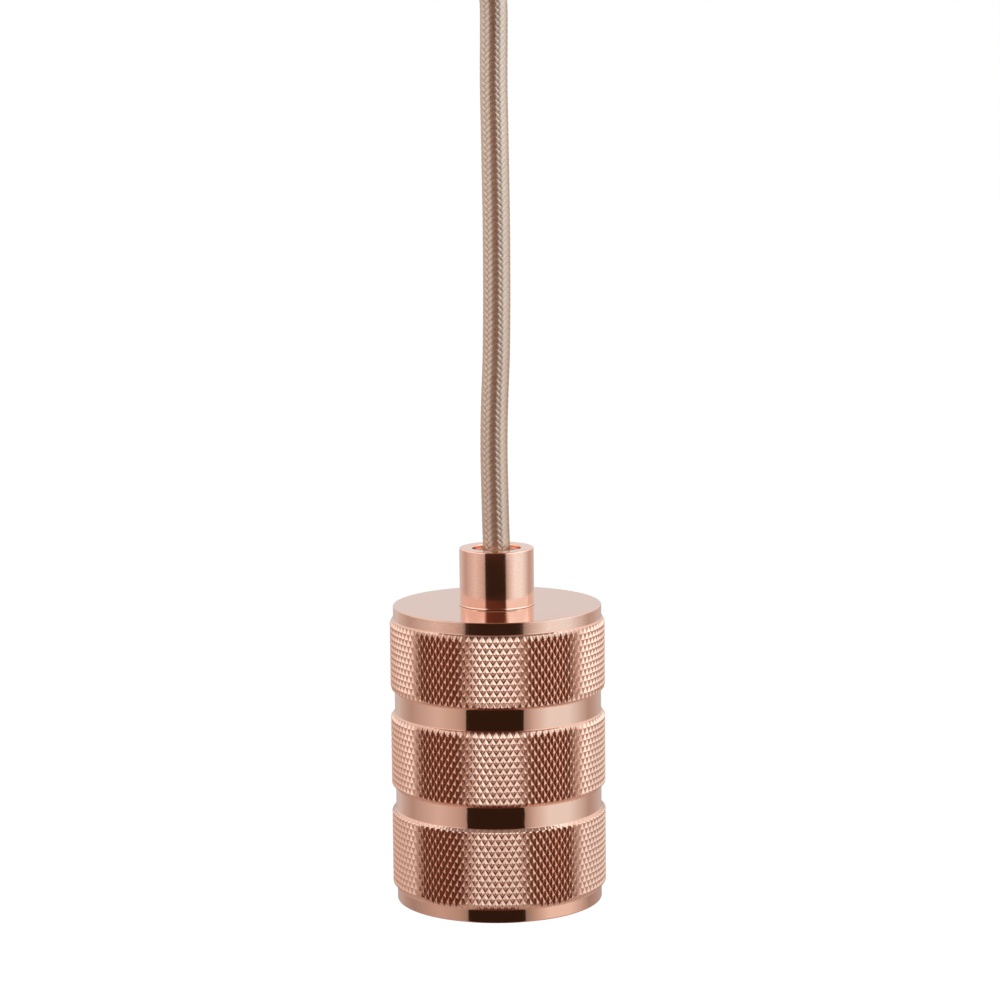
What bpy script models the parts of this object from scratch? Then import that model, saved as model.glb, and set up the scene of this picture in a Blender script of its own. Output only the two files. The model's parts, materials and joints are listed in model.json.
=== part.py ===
"""Pendant light: a copper lampholder with three knurled bands.

It hangs on a braided flex from a plain ceiling rose. Metres, +Z up. The origin is
on the ceiling plane, at the middle of the bracket's upper face. The lamp end is
modelled from its polished top plate, which is height 0 of the lamp_end empty.
"""
import math

import bmesh
import bpy
import numpy as np
from mathutils import Matrix

# Fits and roundness
FIT = 0.0003                      # gap between pieces that touch or thread together
OVERCUT = 0.001                   # how far a cutter runs past the face it cuts
LARGE_SIDES = 48
MEDIUM_SIDES = 28
SMALL_SIDES = 16
SCREW_SIDES = 8

# Knurled body
BODY_DIAMETER = 0.0500            # over the knurl's peaks
RIM_STEP = 0.0008                 # how far the rim lies below the peaks
GROOVE_STEP = 0.00095
FOOT_STEP = 0.0010
RIM_HEIGHT = 0.00285
BAND_HEIGHTS = (0.01558, 0.01612, 0.01733)
GROOVE_HEIGHT = 0.00505
CHAMFER_HEIGHT = 0.00075
FOOT_HEIGHT = 0.00312
EDGE_BREAK = 0.0002
TOP_WALL = 0.0030
SIDE_WALL = 0.0030                # from the peaks to the bore
BORE_CORNER = 0.0010
KNURL_COUNT = 60                  # diamonds around, coarser than the real 98
KNURL_DEPTH = 0.00065
KNURL_ANGLE = math.radians(30)    # of the grooves, from the lamp's axis

# Cord grips, one on the lamp and one under the rose
GRIP_DIAMETER = 0.01725
GRIP_HEIGHT = 0.0134
GRIP_MOUTH = 0.0113
GRIP_EDGE = 0.0004
NIPPLE_DIAMETER = 0.0100          # M10 x 1 thread, left plain
NIPPLE_BORE = 0.0076
NIPPLE_IN_GRIP = 0.0065
BUSH_BELOW_MOUTH = 0.0015
BUSH_TAPER = 0.0006
NUT_FLATS = 0.0140
NUT_HEIGHT = 0.0030

# Flex
FREE_CORD = 0.1300                # seen between the two grips
CORD_DIAMETER = 0.0063
CORD_SPACING = 0.0090             # between the points of the tube
CORD_INTO_PLATE = 0.0040          # the braid ends this far under the top plate
CORE_DIAMETER = 0.0020
CORE_PITCH_RADIUS = 0.00135       # of the three cores inside the flex
CORE_SPACING = 0.0024
LAMP_CORE_ANGLES = {"live": math.radians(-30), "neutral": math.radians(210), "earth": math.radians(90)}
ROSE_CORE_ANGLES = {"live": 0, "neutral": math.radians(120), "earth": math.radians(240)}

# Bridge that carries the porcelain
SHEET = 0.0012
BRIDGE_WIDTH = 0.0090
BRIDGE_SPAN = 0.0264              # over the legs
BRIDGE_FOOT = 0.0058
BRIDGE_DROP = 0.0113              # from the bridge's top sheet to the porcelain
COLLAR_DIAMETER = 0.0140
COLLAR_HEIGHT = 0.0020

# Porcelain insert
PORCELAIN_GAP = 0.0012            # all round, inside the body
PORCELAIN_LENGTH = 0.0430
PORCELAIN_FLOOR = 0.0100
PORCELAIN_BORE = 0.0292
PORCELAIN_EDGE = 0.0012
POCKET_DEPTH = 0.0035

# Screw shell and contacts, E27, with the rolled thread left plain
SHELL_WALL = 0.00045
SHELL_LENGTH = 0.0240
SHELL_FLANGE_BORE = 0.0186
SHELL_LIP = 0.0008
CONTACT_SHEET = 0.0005
CONTACT_WIDTH = 0.0050
CONTACT_REACH = 0.0045            # how far the tongue stands below the floor

# Terminals
BLOCK_LENGTH = 0.0090
BLOCK_WIDTH = 0.0080
BLOCK_HEIGHT = 0.0080
BLOCK_INNER = 0.0046              # from the axis to the block's inner face
WIRE_HOLE_DEPTH = 0.0042
WIRE_INSET = 0.0040               # from the block's inner face to the wire hole

# Small screws: shank diameter, head diameter, head height
M2_5 = (0.0025, 0.0044, 0.0014)
M3 = (0.0030, 0.0050, 0.0016)
M4 = (0.0040, 0.0070, 0.0020)
HEAD_CROWN = 0.8                  # flat top of a screw's head, as a share of its width
HEAD_SIDE = 0.6                   # straight side of the head, as a share of its height
BRIDGE_SCREW_LENGTH = 0.0070
CONTACT_SCREW_GRIP = 0.0030       # thread inside the terminal block

# Ceiling rose and its bracket
ROSE_DIAMETER = 0.1000
ROSE_HEIGHT = 0.0250
ROSE_WALL = 0.0012
ROSE_CORNER = 0.0060
ROSE_CORNER_STEPS = 3
STRAP_SHEET = 0.0015
STRAP_WIDTH = 0.0160
STRAP_LUG = 0.0140
STRAP_SLOT_X = 0.0400
STRAP_SLOT = (0.0080, 0.0045)
SIDE_SCREW_DROP = 0.0080
SIDE_SCREW_LENGTH = 0.0065
NIPPLE_ABOVE_NUT = 0.0020

# Terminal strip inside the rose
STRIP_START = 0.0120              # from the axis to its near face
STRIP_LENGTH = 0.0240
STRIP_WIDTH = 0.0190
STRIP_HEIGHT = 0.0112
STRIP_PITCH = 0.0065
STRIP_PORT_DROP = 0.0067          # from the strip's top to its wire ports
STRIP_SCREW_INSET = 0.0045
STRIP_SCREW = (0.0026, 0.0026, 0.0004)

# Derived heights. On the lamp, 0 is the top plate; at the ceiling, 0 is the ceiling.
BODY_BORE = BODY_DIAMETER - 2 * SIDE_WALL
PORCELAIN_DIAMETER = BODY_BORE - 2 * PORCELAIN_GAP
CORD_HOLE = CORD_DIAMETER + 2 * FIT
THREAD_HOLE = NIPPLE_DIAMETER + 2 * FIT
ROSE_GRIP_TOP = -ROSE_HEIGHT - FIT
ROSE_GRIP_END = ROSE_GRIP_TOP - GRIP_HEIGHT
PLATE_Z = ROSE_GRIP_END - FREE_CORD - GRIP_HEIGHT - FIT
NUT_TOP = -TOP_WALL - FIT
COLLAR_TOP = NUT_TOP - NUT_HEIGHT - FIT
BRIDGE_TOP = COLLAR_TOP - COLLAR_HEIGHT
NIPPLE_END = BRIDGE_TOP - SHEET - FIT
PORCELAIN_TOP = BRIDGE_TOP - SHEET - BRIDGE_DROP - FIT
BLOCK_BOTTOM = PORCELAIN_TOP - POCKET_DEPTH + FIT
BLOCK_TOP = BLOCK_BOTTOM + BLOCK_HEIGHT
FLOOR_BOTTOM = PORCELAIN_TOP - PORCELAIN_FLOOR
PORCELAIN_BOTTOM = PORCELAIN_TOP - PORCELAIN_LENGTH
WIRE_X = BLOCK_INNER + WIRE_INSET
SHELL_OUTER = PORCELAIN_BORE / 2 - FIT
SHELL_SCREW_X = SHELL_OUTER - SHELL_WALL - M2_5[1] / 2 - FIT
LIVE_SCREW_X = SHELL_FLANGE_BORE / 2 - M2_5[1] / 2 - FIT
BRIDGE_LEG_Y = BRIDGE_SPAN / 2 - SHEET / 2
BRIDGE_SCREW_Y = BRIDGE_SPAN / 2 + BRIDGE_FOOT / 2
EARTH_SCREW_Y = BRIDGE_SPAN / 2 - SHEET - M3[1] / 2 - FIT
ROSE_NUT_TOP = -ROSE_HEIGHT + ROSE_WALL + FIT + NUT_HEIGHT
ROSE_NIPPLE_TOP = ROSE_NUT_TOP + NIPPLE_ABOVE_NUT
CORD_TOP = ROSE_NUT_TOP
STRIP_TOP = -STRAP_SHEET - FIT
STRIP_PORT_Z = STRIP_TOP - STRIP_PORT_DROP

# The flex's route between the grips: share of the way up, and how far it strays
# from the lamp's axis to the right. It is pulled nearly straight by the lamp.
CORD_SWAY = (
    (0.00, 0.00000),
    (0.04, -0.00012),
    (0.10, -0.00023),
    (0.16, -0.00033),
    (0.22, -0.00023),
    (0.28, 0.00005),
    (0.34, 0.00040),
    (0.42, 0.00061),
    (0.50, 0.00070),
    (0.58, 0.00072),
    (0.66, 0.00064),
    (0.74, 0.00054),
    (0.82, 0.00045),
    (0.90, 0.00058),
    (0.955, 0.00058),
    (1.00, 0.00000),
)


def clear_scene():
    for obj in list(bpy.data.objects):
        bpy.data.objects.remove(obj, do_unlink=True)


def new_collection(name):
    collection = bpy.data.collections.new(name)
    bpy.context.scene.collection.children.link(collection)
    return collection


clear_scene()
PARTS = new_collection("pendant_light")
CUTTERS = new_collection("cutters")


def empty_at(name, z):
    empty = bpy.data.objects.new(name, None)
    empty.location = (0, 0, z)
    PARTS.objects.link(empty)
    return empty


LAMP = empty_at("lamp_end", PLATE_Z)
CEILING = empty_at("ceiling_end", 0)


def make_material(name, colour, metallic, roughness):
    material = bpy.data.materials.new(name)
    material.use_nodes = True
    shader = material.node_tree.nodes["Principled BSDF"]
    shader.inputs["Base Color"].default_value = (*colour, 1)
    shader.inputs["Metallic"].default_value = metallic
    shader.inputs["Roughness"].default_value = roughness
    material.diffuse_color = (*colour, 1)
    return material


COPPER = make_material("polished_copper", (0.75, 0.36, 0.24), 1.0, 0.18)
BRASS = make_material("brass", (0.74, 0.56, 0.24), 1.0, 0.30)
STEEL = make_material("zinc_plated_steel", (0.62, 0.62, 0.60), 1.0, 0.35)
PORCELAIN = make_material("glazed_porcelain", (0.86, 0.85, 0.80), 0.0, 0.15)
NYLON = make_material("clear_nylon", (0.78, 0.76, 0.70), 0.0, 0.40)
BRONZE = make_material("phosphor_bronze", (0.66, 0.42, 0.22), 1.0, 0.30)
BRAID = make_material("copper_textile_braid", (0.62, 0.40, 0.29), 0.0, 0.55)
LIVE_PVC = make_material("brown_pvc", (0.16, 0.07, 0.03), 0.0, 0.40)
NEUTRAL_PVC = make_material("blue_pvc", (0.03, 0.12, 0.42), 0.0, 0.40)
EARTH_PVC = make_material("green_yellow_pvc", (0.22, 0.45, 0.06), 0.0, 0.40)


def place(obj, parent, material=None, at=(0, 0, 0), turn=(0, 0, 0)):
    """Link a piece to the light, or a cutter (no material) to the cutters."""
    obj.parent = parent
    obj.location = at
    obj.rotation_euler = turn
    if material:
        PARTS.objects.link(obj)
        obj.data.materials.append(material)
    else:
        CUTTERS.objects.link(obj)
        obj.hide_render = True
        obj.display_type = "WIRE"
    return obj


def turned(name, profile, sides):
    """Turn a profile of (radius, height) points about Z.

    The profile runs down the outer side. Unless both its ends lie on the axis,
    it is closed, which leaves a bore.
    """
    count = len(profile)
    edges = [(i, i + 1) for i in range(count - 1)]
    if profile[0][0] > 0 or profile[-1][0] > 0:
        edges.append((count - 1, 0))
    mesh = bpy.data.meshes.new(name)
    mesh.from_pydata([(radius, 0, z) for radius, z in profile], edges, [])
    obj = bpy.data.objects.new(name, mesh)
    screw = obj.modifiers.new("turn", "SCREW")
    screw.steps = sides
    screw.render_steps = sides
    screw.use_smooth_shade = False
    screw.use_merge_vertices = True
    screw.merge_threshold = 0.00001
    return obj


def from_bmesh(name, bm):
    mesh = bpy.data.meshes.new(name)
    bm.to_mesh(mesh)
    bm.free()
    return bpy.data.objects.new(name, mesh)


def box(name, low, high):
    size = np.subtract(high, low)
    middle = np.add(high, low) / 2
    bm = bmesh.new()
    matrix = Matrix.Translation(middle) @ Matrix.Diagonal((*size, 1))
    bmesh.ops.create_cube(bm, size=1, matrix=matrix)
    return from_bmesh(name, bm)


def rod(name, diameter, z_low, z_high, sides):
    """A plain upright cylinder, or a hexagon when it has six sides."""
    bm = bmesh.new()
    bmesh.ops.create_cone(
        bm,
        cap_ends=True,
        segments=sides,
        radius1=diameter / 2,
        radius2=diameter / 2,
        depth=z_high - z_low,
        matrix=Matrix.Translation((0, 0, (z_low + z_high) / 2)),
    )
    return from_bmesh(name, bm)


def bent_strip(name, path, width, thickness, along):
    """A strip of sheet bent along a path, which is the middle of its thickness."""
    bm = bmesh.new()
    side = [width / 2 if axis == along else 0 for axis in "xyz"]
    verts = [bm.verts.new(np.subtract(point, side)) for point in path]
    edges = [bm.edges.new(pair) for pair in zip(verts, verts[1:])]
    grown = bmesh.ops.extrude_edge_only(bm, edges=edges)["geom"]
    moved = [item for item in grown if isinstance(item, bmesh.types.BMVert)]
    bmesh.ops.translate(bm, verts=moved, vec=np.multiply(side, 2))
    obj = from_bmesh(name, bm)
    solidify = obj.modifiers.new("sheet", "SOLIDIFY")
    solidify.thickness = thickness
    solidify.offset = 0
    solidify.use_even_offset = True
    return obj


def combine(obj, other, operation, name):
    boolean = obj.modifiers.new(name, "BOOLEAN")
    boolean.operation = operation
    boolean.object = other


def cut_hole(obj, parent, diameter, z_low, z_high, at=(0, 0, 0), turn=(0, 0, 0)):
    """Drill a round hole; one wider than an M4 screw's gets more sides."""
    name = f"{obj.name}_hole_{len(obj.modifiers)}"
    sides = SMALL_SIDES if diameter > M4[0] + 2 * FIT else SCREW_SIDES
    cutter = place(rod(name, diameter, z_low, z_high, sides), parent, at=at, turn=turn)
    combine(obj, cutter, "DIFFERENCE", name)


def cut_box(obj, parent, low, high):
    name = f"{obj.name}_pocket_{len(obj.modifiers)}"
    cutter = place(box(name, low, high), parent)
    combine(obj, cutter, "DIFFERENCE", name)


def arc(centre, radius, start, end, steps):
    """Points of a round corner, angles in degrees from +X towards +Z."""
    angles = np.radians(np.linspace(start, end, steps + 1))
    return [(centre[0] + radius * math.cos(a), centre[1] + radius * math.sin(a)) for a in angles]


def smooth_route(points, spacing):
    """Read evenly spaced points from a smooth curve through the route's points.

    The curve is a Catmull-Rom spline: it passes through each point in the
    direction of the line between that point's two neighbours.
    """
    route = np.array(points, dtype=float)
    padded = np.vstack([2 * route[0] - route[1], route, 2 * route[-1] - route[-2]])
    share = np.linspace(0, 1, 24, endpoint=False)[:, None]
    runs = []
    for p0, p1, p2, p3 in zip(padded, padded[1:], padded[2:], padded[3:]):
        runs.append(0.5 * (
            2 * p1
            + (p2 - p0) * share
            + (2 * p0 - 5 * p1 + 4 * p2 - p3) * share ** 2
            + (3 * p1 - p0 - 3 * p2 + p3) * share ** 3
        ))
    fine = np.vstack(runs + [route[-1:]])
    steps = np.linalg.norm(np.diff(fine, axis=0), axis=1)
    length = np.concatenate([[0], np.cumsum(steps)])
    count = max(2, round(length[-1] / spacing) + 1)
    wanted = np.linspace(0, length[-1], count)
    return np.stack([np.interp(wanted, length, fine[:, axis]) for axis in range(3)], axis=1)


def tube(name, points, diameter):
    curve = bpy.data.curves.new(name, "CURVE")
    curve.dimensions = "3D"
    curve.bevel_depth = diameter / 2
    curve.bevel_resolution = 2
    curve.use_fill_caps = True
    spline = curve.splines.new("POLY")
    spline.points.add(len(points) - 1)
    spline.points.foreach_set("co", np.column_stack([points, np.ones(len(points))]).ravel())
    return bpy.data.objects.new(name, curve)


def body_rings():
    """The body's outside from the plate down: (radius, height, knurl row or None)."""
    peak = BODY_DIAMETER / 2
    rim, groove, foot = peak - RIM_STEP, peak - GROOVE_STEP, peak - FOOT_STEP
    half_row = math.pi * BODY_DIAMETER / (2 * KNURL_COUNT) / math.tan(KNURL_ANGLE)
    rings = [(rim - EDGE_BREAK, 0, None), (rim, -EDGE_BREAK, None)]
    z = -RIM_HEIGHT
    last = len(BAND_HEIGHTS) - 1
    for number, height in enumerate(BAND_HEIGHTS):
        rings.append((rim if number == 0 else groove, z, None))
        z -= CHAMFER_HEIGHT
        rows = max(2, round(height / half_row))
        rings += [(peak, z - height * row / rows, row) for row in range(rows + 1)]
        z -= height + CHAMFER_HEIGHT
        rings.append((foot if number == last else groove, z, None))
        z -= GROOVE_HEIGHT
    z += GROOVE_HEIGHT - FOOT_HEIGHT
    rings += [(foot, z + EDGE_BREAK, None), (foot - EDGE_BREAK, z, None)]
    return rings


def body_height():
    return -body_rings()[-1][1]


def knurled_blank(name):
    """The body's outside, with every second point of the knurl pushed in.

    The points form a chequered lattice: a peak has four valleys around it, so each
    diamond is a pyramid of four triangles, split along the line of its grooves.
    """
    rings = body_rings()
    columns = 2 * KNURL_COUNT
    bm = bmesh.new()
    profile = [bm.verts.new((radius, 0, z)) for radius, z, row in rings]
    edges = [bm.edges.new(pair) for pair in zip(profile, profile[1:])]
    bmesh.ops.spin(
        bm,
        geom=profile + edges,
        cent=(0, 0, 0),
        axis=(0, 0, 1),
        angle=2 * math.pi,
        steps=columns,
        use_merge=True,
    )
    heights = np.array([z for radius, z, row in rings])
    valleys = set()
    for vert in bm.verts:
        row = rings[int(np.argmin(np.abs(heights - vert.co.z)))][2]
        column = round(math.atan2(vert.co.y, vert.co.x) / (2 * math.pi) * columns)
        if row is not None and (row + column) % 2:
            vert.co.xy *= 1 - 2 * KNURL_DEPTH / BODY_DIAMETER
            valleys.add(vert)
    for face in list(bm.faces):
        low = [index for index, vert in enumerate(face.verts) if vert in valleys]
        if low:
            corner = face.verts[low[0]]
            opposite = face.verts[(low[0] + 2) % 4]
            bmesh.utils.face_split(face, corner, opposite)
    open_edges = [edge for edge in bm.edges if edge.is_boundary]
    bmesh.ops.holes_fill(bm, edges=open_edges, sides=0)
    bmesh.ops.recalc_face_normals(bm, faces=bm.faces)
    return from_bmesh(name, bm)


def make_body():
    """One turned cup: knurled outside, bored from below, a hole for the nipple."""
    body = place(knurled_blank("knurled_body"), LAMP, COPPER)
    bore = BODY_BORE / 2
    hole = THREAD_HOLE / 2
    bottom = -body_height()
    corner = arc((bore - BORE_CORNER, -TOP_WALL - BORE_CORNER), BORE_CORNER, 90, 0, 2)
    inside = [
        (0, OVERCUT),
        (hole, OVERCUT),
        (hole, -TOP_WALL),
        *corner,
        (bore, bottom + 2 * EDGE_BREAK),
        (bore + 2 * EDGE_BREAK + OVERCUT, bottom - OVERCUT),
        (0, bottom - OVERCUT),
    ]
    cutter = place(turned("body_inside", inside, LARGE_SIDES), LAMP)
    combine(body, cutter, "DIFFERENCE", "bore")


def make_grip(end, parent, material, at, turn):
    """A plain turned cord grip: threaded below, open mouth above, on its nylon bush."""
    outer, mouth, thread = GRIP_DIAMETER / 2, GRIP_MOUTH / 2, THREAD_HOLE / 2
    shoulder = NIPPLE_IN_GRIP + FIT
    profile = [
        *reversed(arc((outer - GRIP_EDGE, GRIP_HEIGHT - GRIP_EDGE), GRIP_EDGE, 0, 90, 2)),
        (outer, GRIP_EDGE / 2),
        (outer - GRIP_EDGE / 2, 0),
        (thread, 0),
        (thread, shoulder),
        (mouth, shoulder),
        (mouth, GRIP_HEIGHT - GRIP_EDGE),
        (mouth + GRIP_EDGE, GRIP_HEIGHT),
    ]
    place(turned(f"{end}_grip", profile, MEDIUM_SIDES), parent, material, at, turn)

    bush_outer = mouth - FIT
    bush_low = shoulder + FIT
    bush_high = GRIP_HEIGHT - BUSH_BELOW_MOUTH
    bush = [
        (bush_outer - BUSH_TAPER, bush_high),
        (bush_outer, bush_high - BUSH_TAPER),
        (bush_outer, bush_low),
        (CORD_HOLE / 2, bush_low),
        (CORD_HOLE / 2, bush_high),
    ]
    place(turned(f"{end}_grip_bush", bush, SMALL_SIDES), parent, NYLON, at, turn)


def make_nipple(end, parent, z_low, z_high):
    outer, bore = NIPPLE_DIAMETER / 2, NIPPLE_BORE / 2
    profile = [
        (outer - FIT, z_high),
        (outer, z_high - FIT),
        (outer, z_low + FIT),
        (outer - FIT, z_low),
        (bore, z_low),
        (bore, z_high),
    ]
    place(turned(f"{end}_nipple", profile, SMALL_SIDES), parent, STEEL)


def make_nut(end, parent, z_low):
    across_corners = NUT_FLATS / math.cos(math.radians(30))
    blank = rod(f"{end}_lock_nut", across_corners, z_low, z_low + NUT_HEIGHT, 6)
    nut = place(blank, parent, STEEL)
    cut_hole(nut, parent, THREAD_HOLE, z_low - OVERCUT, z_low + NUT_HEIGHT + OVERCUT)


def make_screw(name, parent, size, length, at, turn=(0, 0, 0), material=STEEL):
    """A pan-head screw, seat of the head at height 0, shank below it."""
    shank, head, head_height = size[0] / 2, size[1] / 2, size[2]
    profile = [
        (0, head_height),
        (head * HEAD_CROWN, head_height),
        (head, head_height * HEAD_SIDE),
        (head, 0),
        (shank, 0),
        (shank, -length),
        (0, -length),
    ]
    place(turned(name, profile, SCREW_SIDES), parent, material, at, turn)


def make_bridge():
    """A bent strip with a threaded collar: it hangs the porcelain on the nipple."""
    middle = BRIDGE_TOP - SHEET / 2
    foot = PORCELAIN_TOP + FIT + SHEET / 2
    foot_end = BRIDGE_SPAN / 2 + BRIDGE_FOOT
    path = [
        (0, -foot_end, foot),
        (0, -BRIDGE_LEG_Y, foot),
        (0, -BRIDGE_LEG_Y, middle),
        (0, BRIDGE_LEG_Y, middle),
        (0, BRIDGE_LEG_Y, foot),
        (0, foot_end, foot),
    ]
    strip = bent_strip("mounting_bridge", path, BRIDGE_WIDTH, SHEET, "x")
    bridge = place(strip, LAMP, STEEL)
    blank = rod("collar", COLLAR_DIAMETER, BRIDGE_TOP - SHEET / 2, COLLAR_TOP, MEDIUM_SIDES)
    combine(bridge, place(blank, LAMP), "UNION", "collar")
    cut_hole(bridge, LAMP, THREAD_HOLE, NIPPLE_END, COLLAR_TOP + OVERCUT)
    screw_hole = M3[0] + 2 * FIT
    for y in (-BRIDGE_SCREW_Y, BRIDGE_SCREW_Y):
        cut_hole(bridge, LAMP, screw_hole, foot - SHEET, foot + SHEET, at=(0, y, 0))
    at = (0, EARTH_SCREW_Y, 0)
    cut_hole(bridge, LAMP, screw_hole, middle - SHEET, middle + SHEET, at=at)

    head_seat = foot + SHEET / 2 + FIT
    make_screw("bridge_screw_front", LAMP, M3, BRIDGE_SCREW_LENGTH, (0, -BRIDGE_SCREW_Y, head_seat))
    make_screw("bridge_screw_back", LAMP, M3, BRIDGE_SCREW_LENGTH, (0, BRIDGE_SCREW_Y, head_seat))


def earth_core_height():
    return BRIDGE_TOP - SHEET - FIT - CORE_DIAMETER / 2


def make_earth_screw():
    """It stands head down and clamps the earth core against the bridge."""
    seat = earth_core_height() - CORE_DIAMETER / 2 - FIT
    length = BRIDGE_TOP - seat + 2 * FIT
    make_screw("earth_screw", LAMP, M3, length, (0, EARTH_SCREW_Y, seat), (math.pi, 0, 0), BRASS)


def make_insulator():
    """Glazed porcelain: a deep bore below, a thick floor, terminal pockets on top."""
    outer, bore = PORCELAIN_DIAMETER / 2, PORCELAIN_BORE / 2
    profile = [
        (0, PORCELAIN_TOP),
        (outer - PORCELAIN_EDGE, PORCELAIN_TOP),
        (outer, PORCELAIN_TOP - PORCELAIN_EDGE),
        (outer, PORCELAIN_BOTTOM + PORCELAIN_EDGE),
        (outer - PORCELAIN_EDGE, PORCELAIN_BOTTOM),
        (bore + PORCELAIN_EDGE, PORCELAIN_BOTTOM),
        (bore, PORCELAIN_BOTTOM + PORCELAIN_EDGE),
        (bore, FLOOR_BOTTOM),
        (0, FLOOR_BOTTOM),
    ]
    insulator = place(turned("insulator", profile, LARGE_SIDES), LAMP, PORCELAIN)
    half_width = BLOCK_WIDTH / 2 + FIT
    near, far = BLOCK_INNER - FIT, BLOCK_INNER + BLOCK_LENGTH + FIT
    pocket_floor = BLOCK_BOTTOM - FIT
    above = PORCELAIN_TOP + OVERCUT
    cut_box(insulator, LAMP, (near, -half_width, pocket_floor), (far, half_width, above))
    cut_box(insulator, LAMP, (-far, -half_width, pocket_floor), (-near, half_width, above))
    screw_hole = M2_5[0] + 2 * FIT
    for x in (LIVE_SCREW_X, -SHELL_SCREW_X):
        low, high = FLOOR_BOTTOM - OVERCUT, pocket_floor + OVERCUT
        cut_hole(insulator, LAMP, screw_hole, low, high, at=(x, 0, 0))
    screw_hole = M3[0] + 2 * FIT
    blind_end = PORCELAIN_TOP + FIT + SHEET - BRIDGE_SCREW_LENGTH
    for y in (-BRIDGE_SCREW_Y, BRIDGE_SCREW_Y):
        cut_hole(insulator, LAMP, screw_hole, blind_end, above, at=(0, y, 0))


def make_screw_shell():
    """The thin brass shell that takes the lamp, with its flange under the floor."""
    outer = SHELL_OUTER
    inner = outer - SHELL_WALL
    top = FLOOR_BOTTOM - FIT
    bottom = top - SHELL_LENGTH
    profile = [
        (outer - SHELL_WALL, top),
        (outer, top - SHELL_WALL),
        (outer, bottom),
        (inner - SHELL_LIP / 2, bottom),
        (inner, bottom + SHELL_LIP),
        (inner, top - SHELL_WALL),
        (SHELL_FLANGE_BORE / 2, top - SHELL_WALL),
        (SHELL_FLANGE_BORE / 2, top),
    ]
    shell = place(turned("screw_shell", profile, MEDIUM_SIDES), LAMP, BRASS)
    low, high = top - SHELL_WALL - OVERCUT, top + OVERCUT
    at = (-SHELL_SCREW_X, 0, 0)
    cut_hole(shell, LAMP, M2_5[0] + 2 * FIT, low, high, at=at)

    seat = top - SHELL_WALL - FIT
    length = BLOCK_BOTTOM + CONTACT_SCREW_GRIP - seat
    make_screw("shell_screw", LAMP, M2_5, length, (-SHELL_SCREW_X, 0, seat), (math.pi, 0, 0), BRASS)


def make_centre_contact():
    """A bronze tongue, screwed under the floor and sprung down at the middle."""
    middle = FLOOR_BOTTOM - FIT - CONTACT_SHEET / 2
    head = M2_5[1] / 2
    outer_end = SHELL_FLANGE_BORE / 2 - FIT
    bend = LIVE_SCREW_X - head - FIT
    tip = middle - CONTACT_REACH
    path = [
        (outer_end - FIT, 0, middle),
        (bend, 0, middle),
        (CONTACT_WIDTH / 2, 0, tip + CONTACT_SHEET),
        (0, 0, tip),
        (-CONTACT_WIDTH / 2, 0, tip + CONTACT_SHEET),
    ]
    strip = bent_strip("centre_contact", path, CONTACT_WIDTH, CONTACT_SHEET, "y")
    contact = place(strip, LAMP, BRONZE)
    low, high = middle - CONTACT_SHEET, middle + CONTACT_SHEET
    cut_hole(contact, LAMP, M2_5[0] + 2 * FIT, low, high, at=(LIVE_SCREW_X, 0, 0))

    seat = middle - CONTACT_SHEET / 2 - FIT
    length = BLOCK_BOTTOM + CONTACT_SCREW_GRIP - seat
    make_screw("contact_screw", LAMP, M2_5, length, (LIVE_SCREW_X, 0, seat), (math.pi, 0, 0), BRASS)


def make_terminal(pole, side, screw_x):
    """A brass block: the contact's screw below, the wire above, a clamp screw outside."""
    low = (BLOCK_INNER, -BLOCK_WIDTH / 2, BLOCK_BOTTOM)
    high = (BLOCK_INNER + BLOCK_LENGTH, BLOCK_WIDTH / 2, BLOCK_TOP)
    if side < 0:
        low, high = (-high[0], low[1], low[2]), (-low[0], high[1], high[2])
    block = place(box(f"terminal_{pole}", low, high), LAMP, BRASS)
    bevel = block.modifiers.new("edges", "BEVEL")
    bevel.width = FIT
    bevel.segments = 1
    tapped = M2_5[0] + 2 * FIT
    depth = CONTACT_SCREW_GRIP + FIT
    low_z, high_z = BLOCK_BOTTOM - OVERCUT, BLOCK_BOTTOM + depth
    cut_hole(block, LAMP, tapped, low_z, high_z, at=(screw_x, 0, 0))
    wire_hole = CORE_DIAMETER + 2 * FIT
    at = (side * WIRE_X, 0, BLOCK_TOP - WIRE_HOLE_DEPTH)
    cut_hole(block, LAMP, wire_hole, 0, WIRE_HOLE_DEPTH + OVERCUT, at=at)
    clamp_z = BLOCK_TOP - WIRE_HOLE_DEPTH / 2
    outer_face = side * (BLOCK_INNER + BLOCK_LENGTH)
    length = BLOCK_LENGTH - WIRE_INSET - CORE_DIAMETER / 2
    turn = (0, side * math.pi / 2, 0)
    at = (outer_face, 0, clamp_z)
    cut_hole(block, LAMP, tapped, -length, OVERCUT, at=at, turn=turn)
    seat = (outer_face + side * FIT, 0, clamp_z)
    make_screw(f"clamp_screw_{pole}", LAMP, M2_5, length, seat, turn, BRASS)


def core_start(angle, z):
    return (CORE_PITCH_RADIUS * math.cos(angle), CORE_PITCH_RADIUS * math.sin(angle), z)


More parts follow.
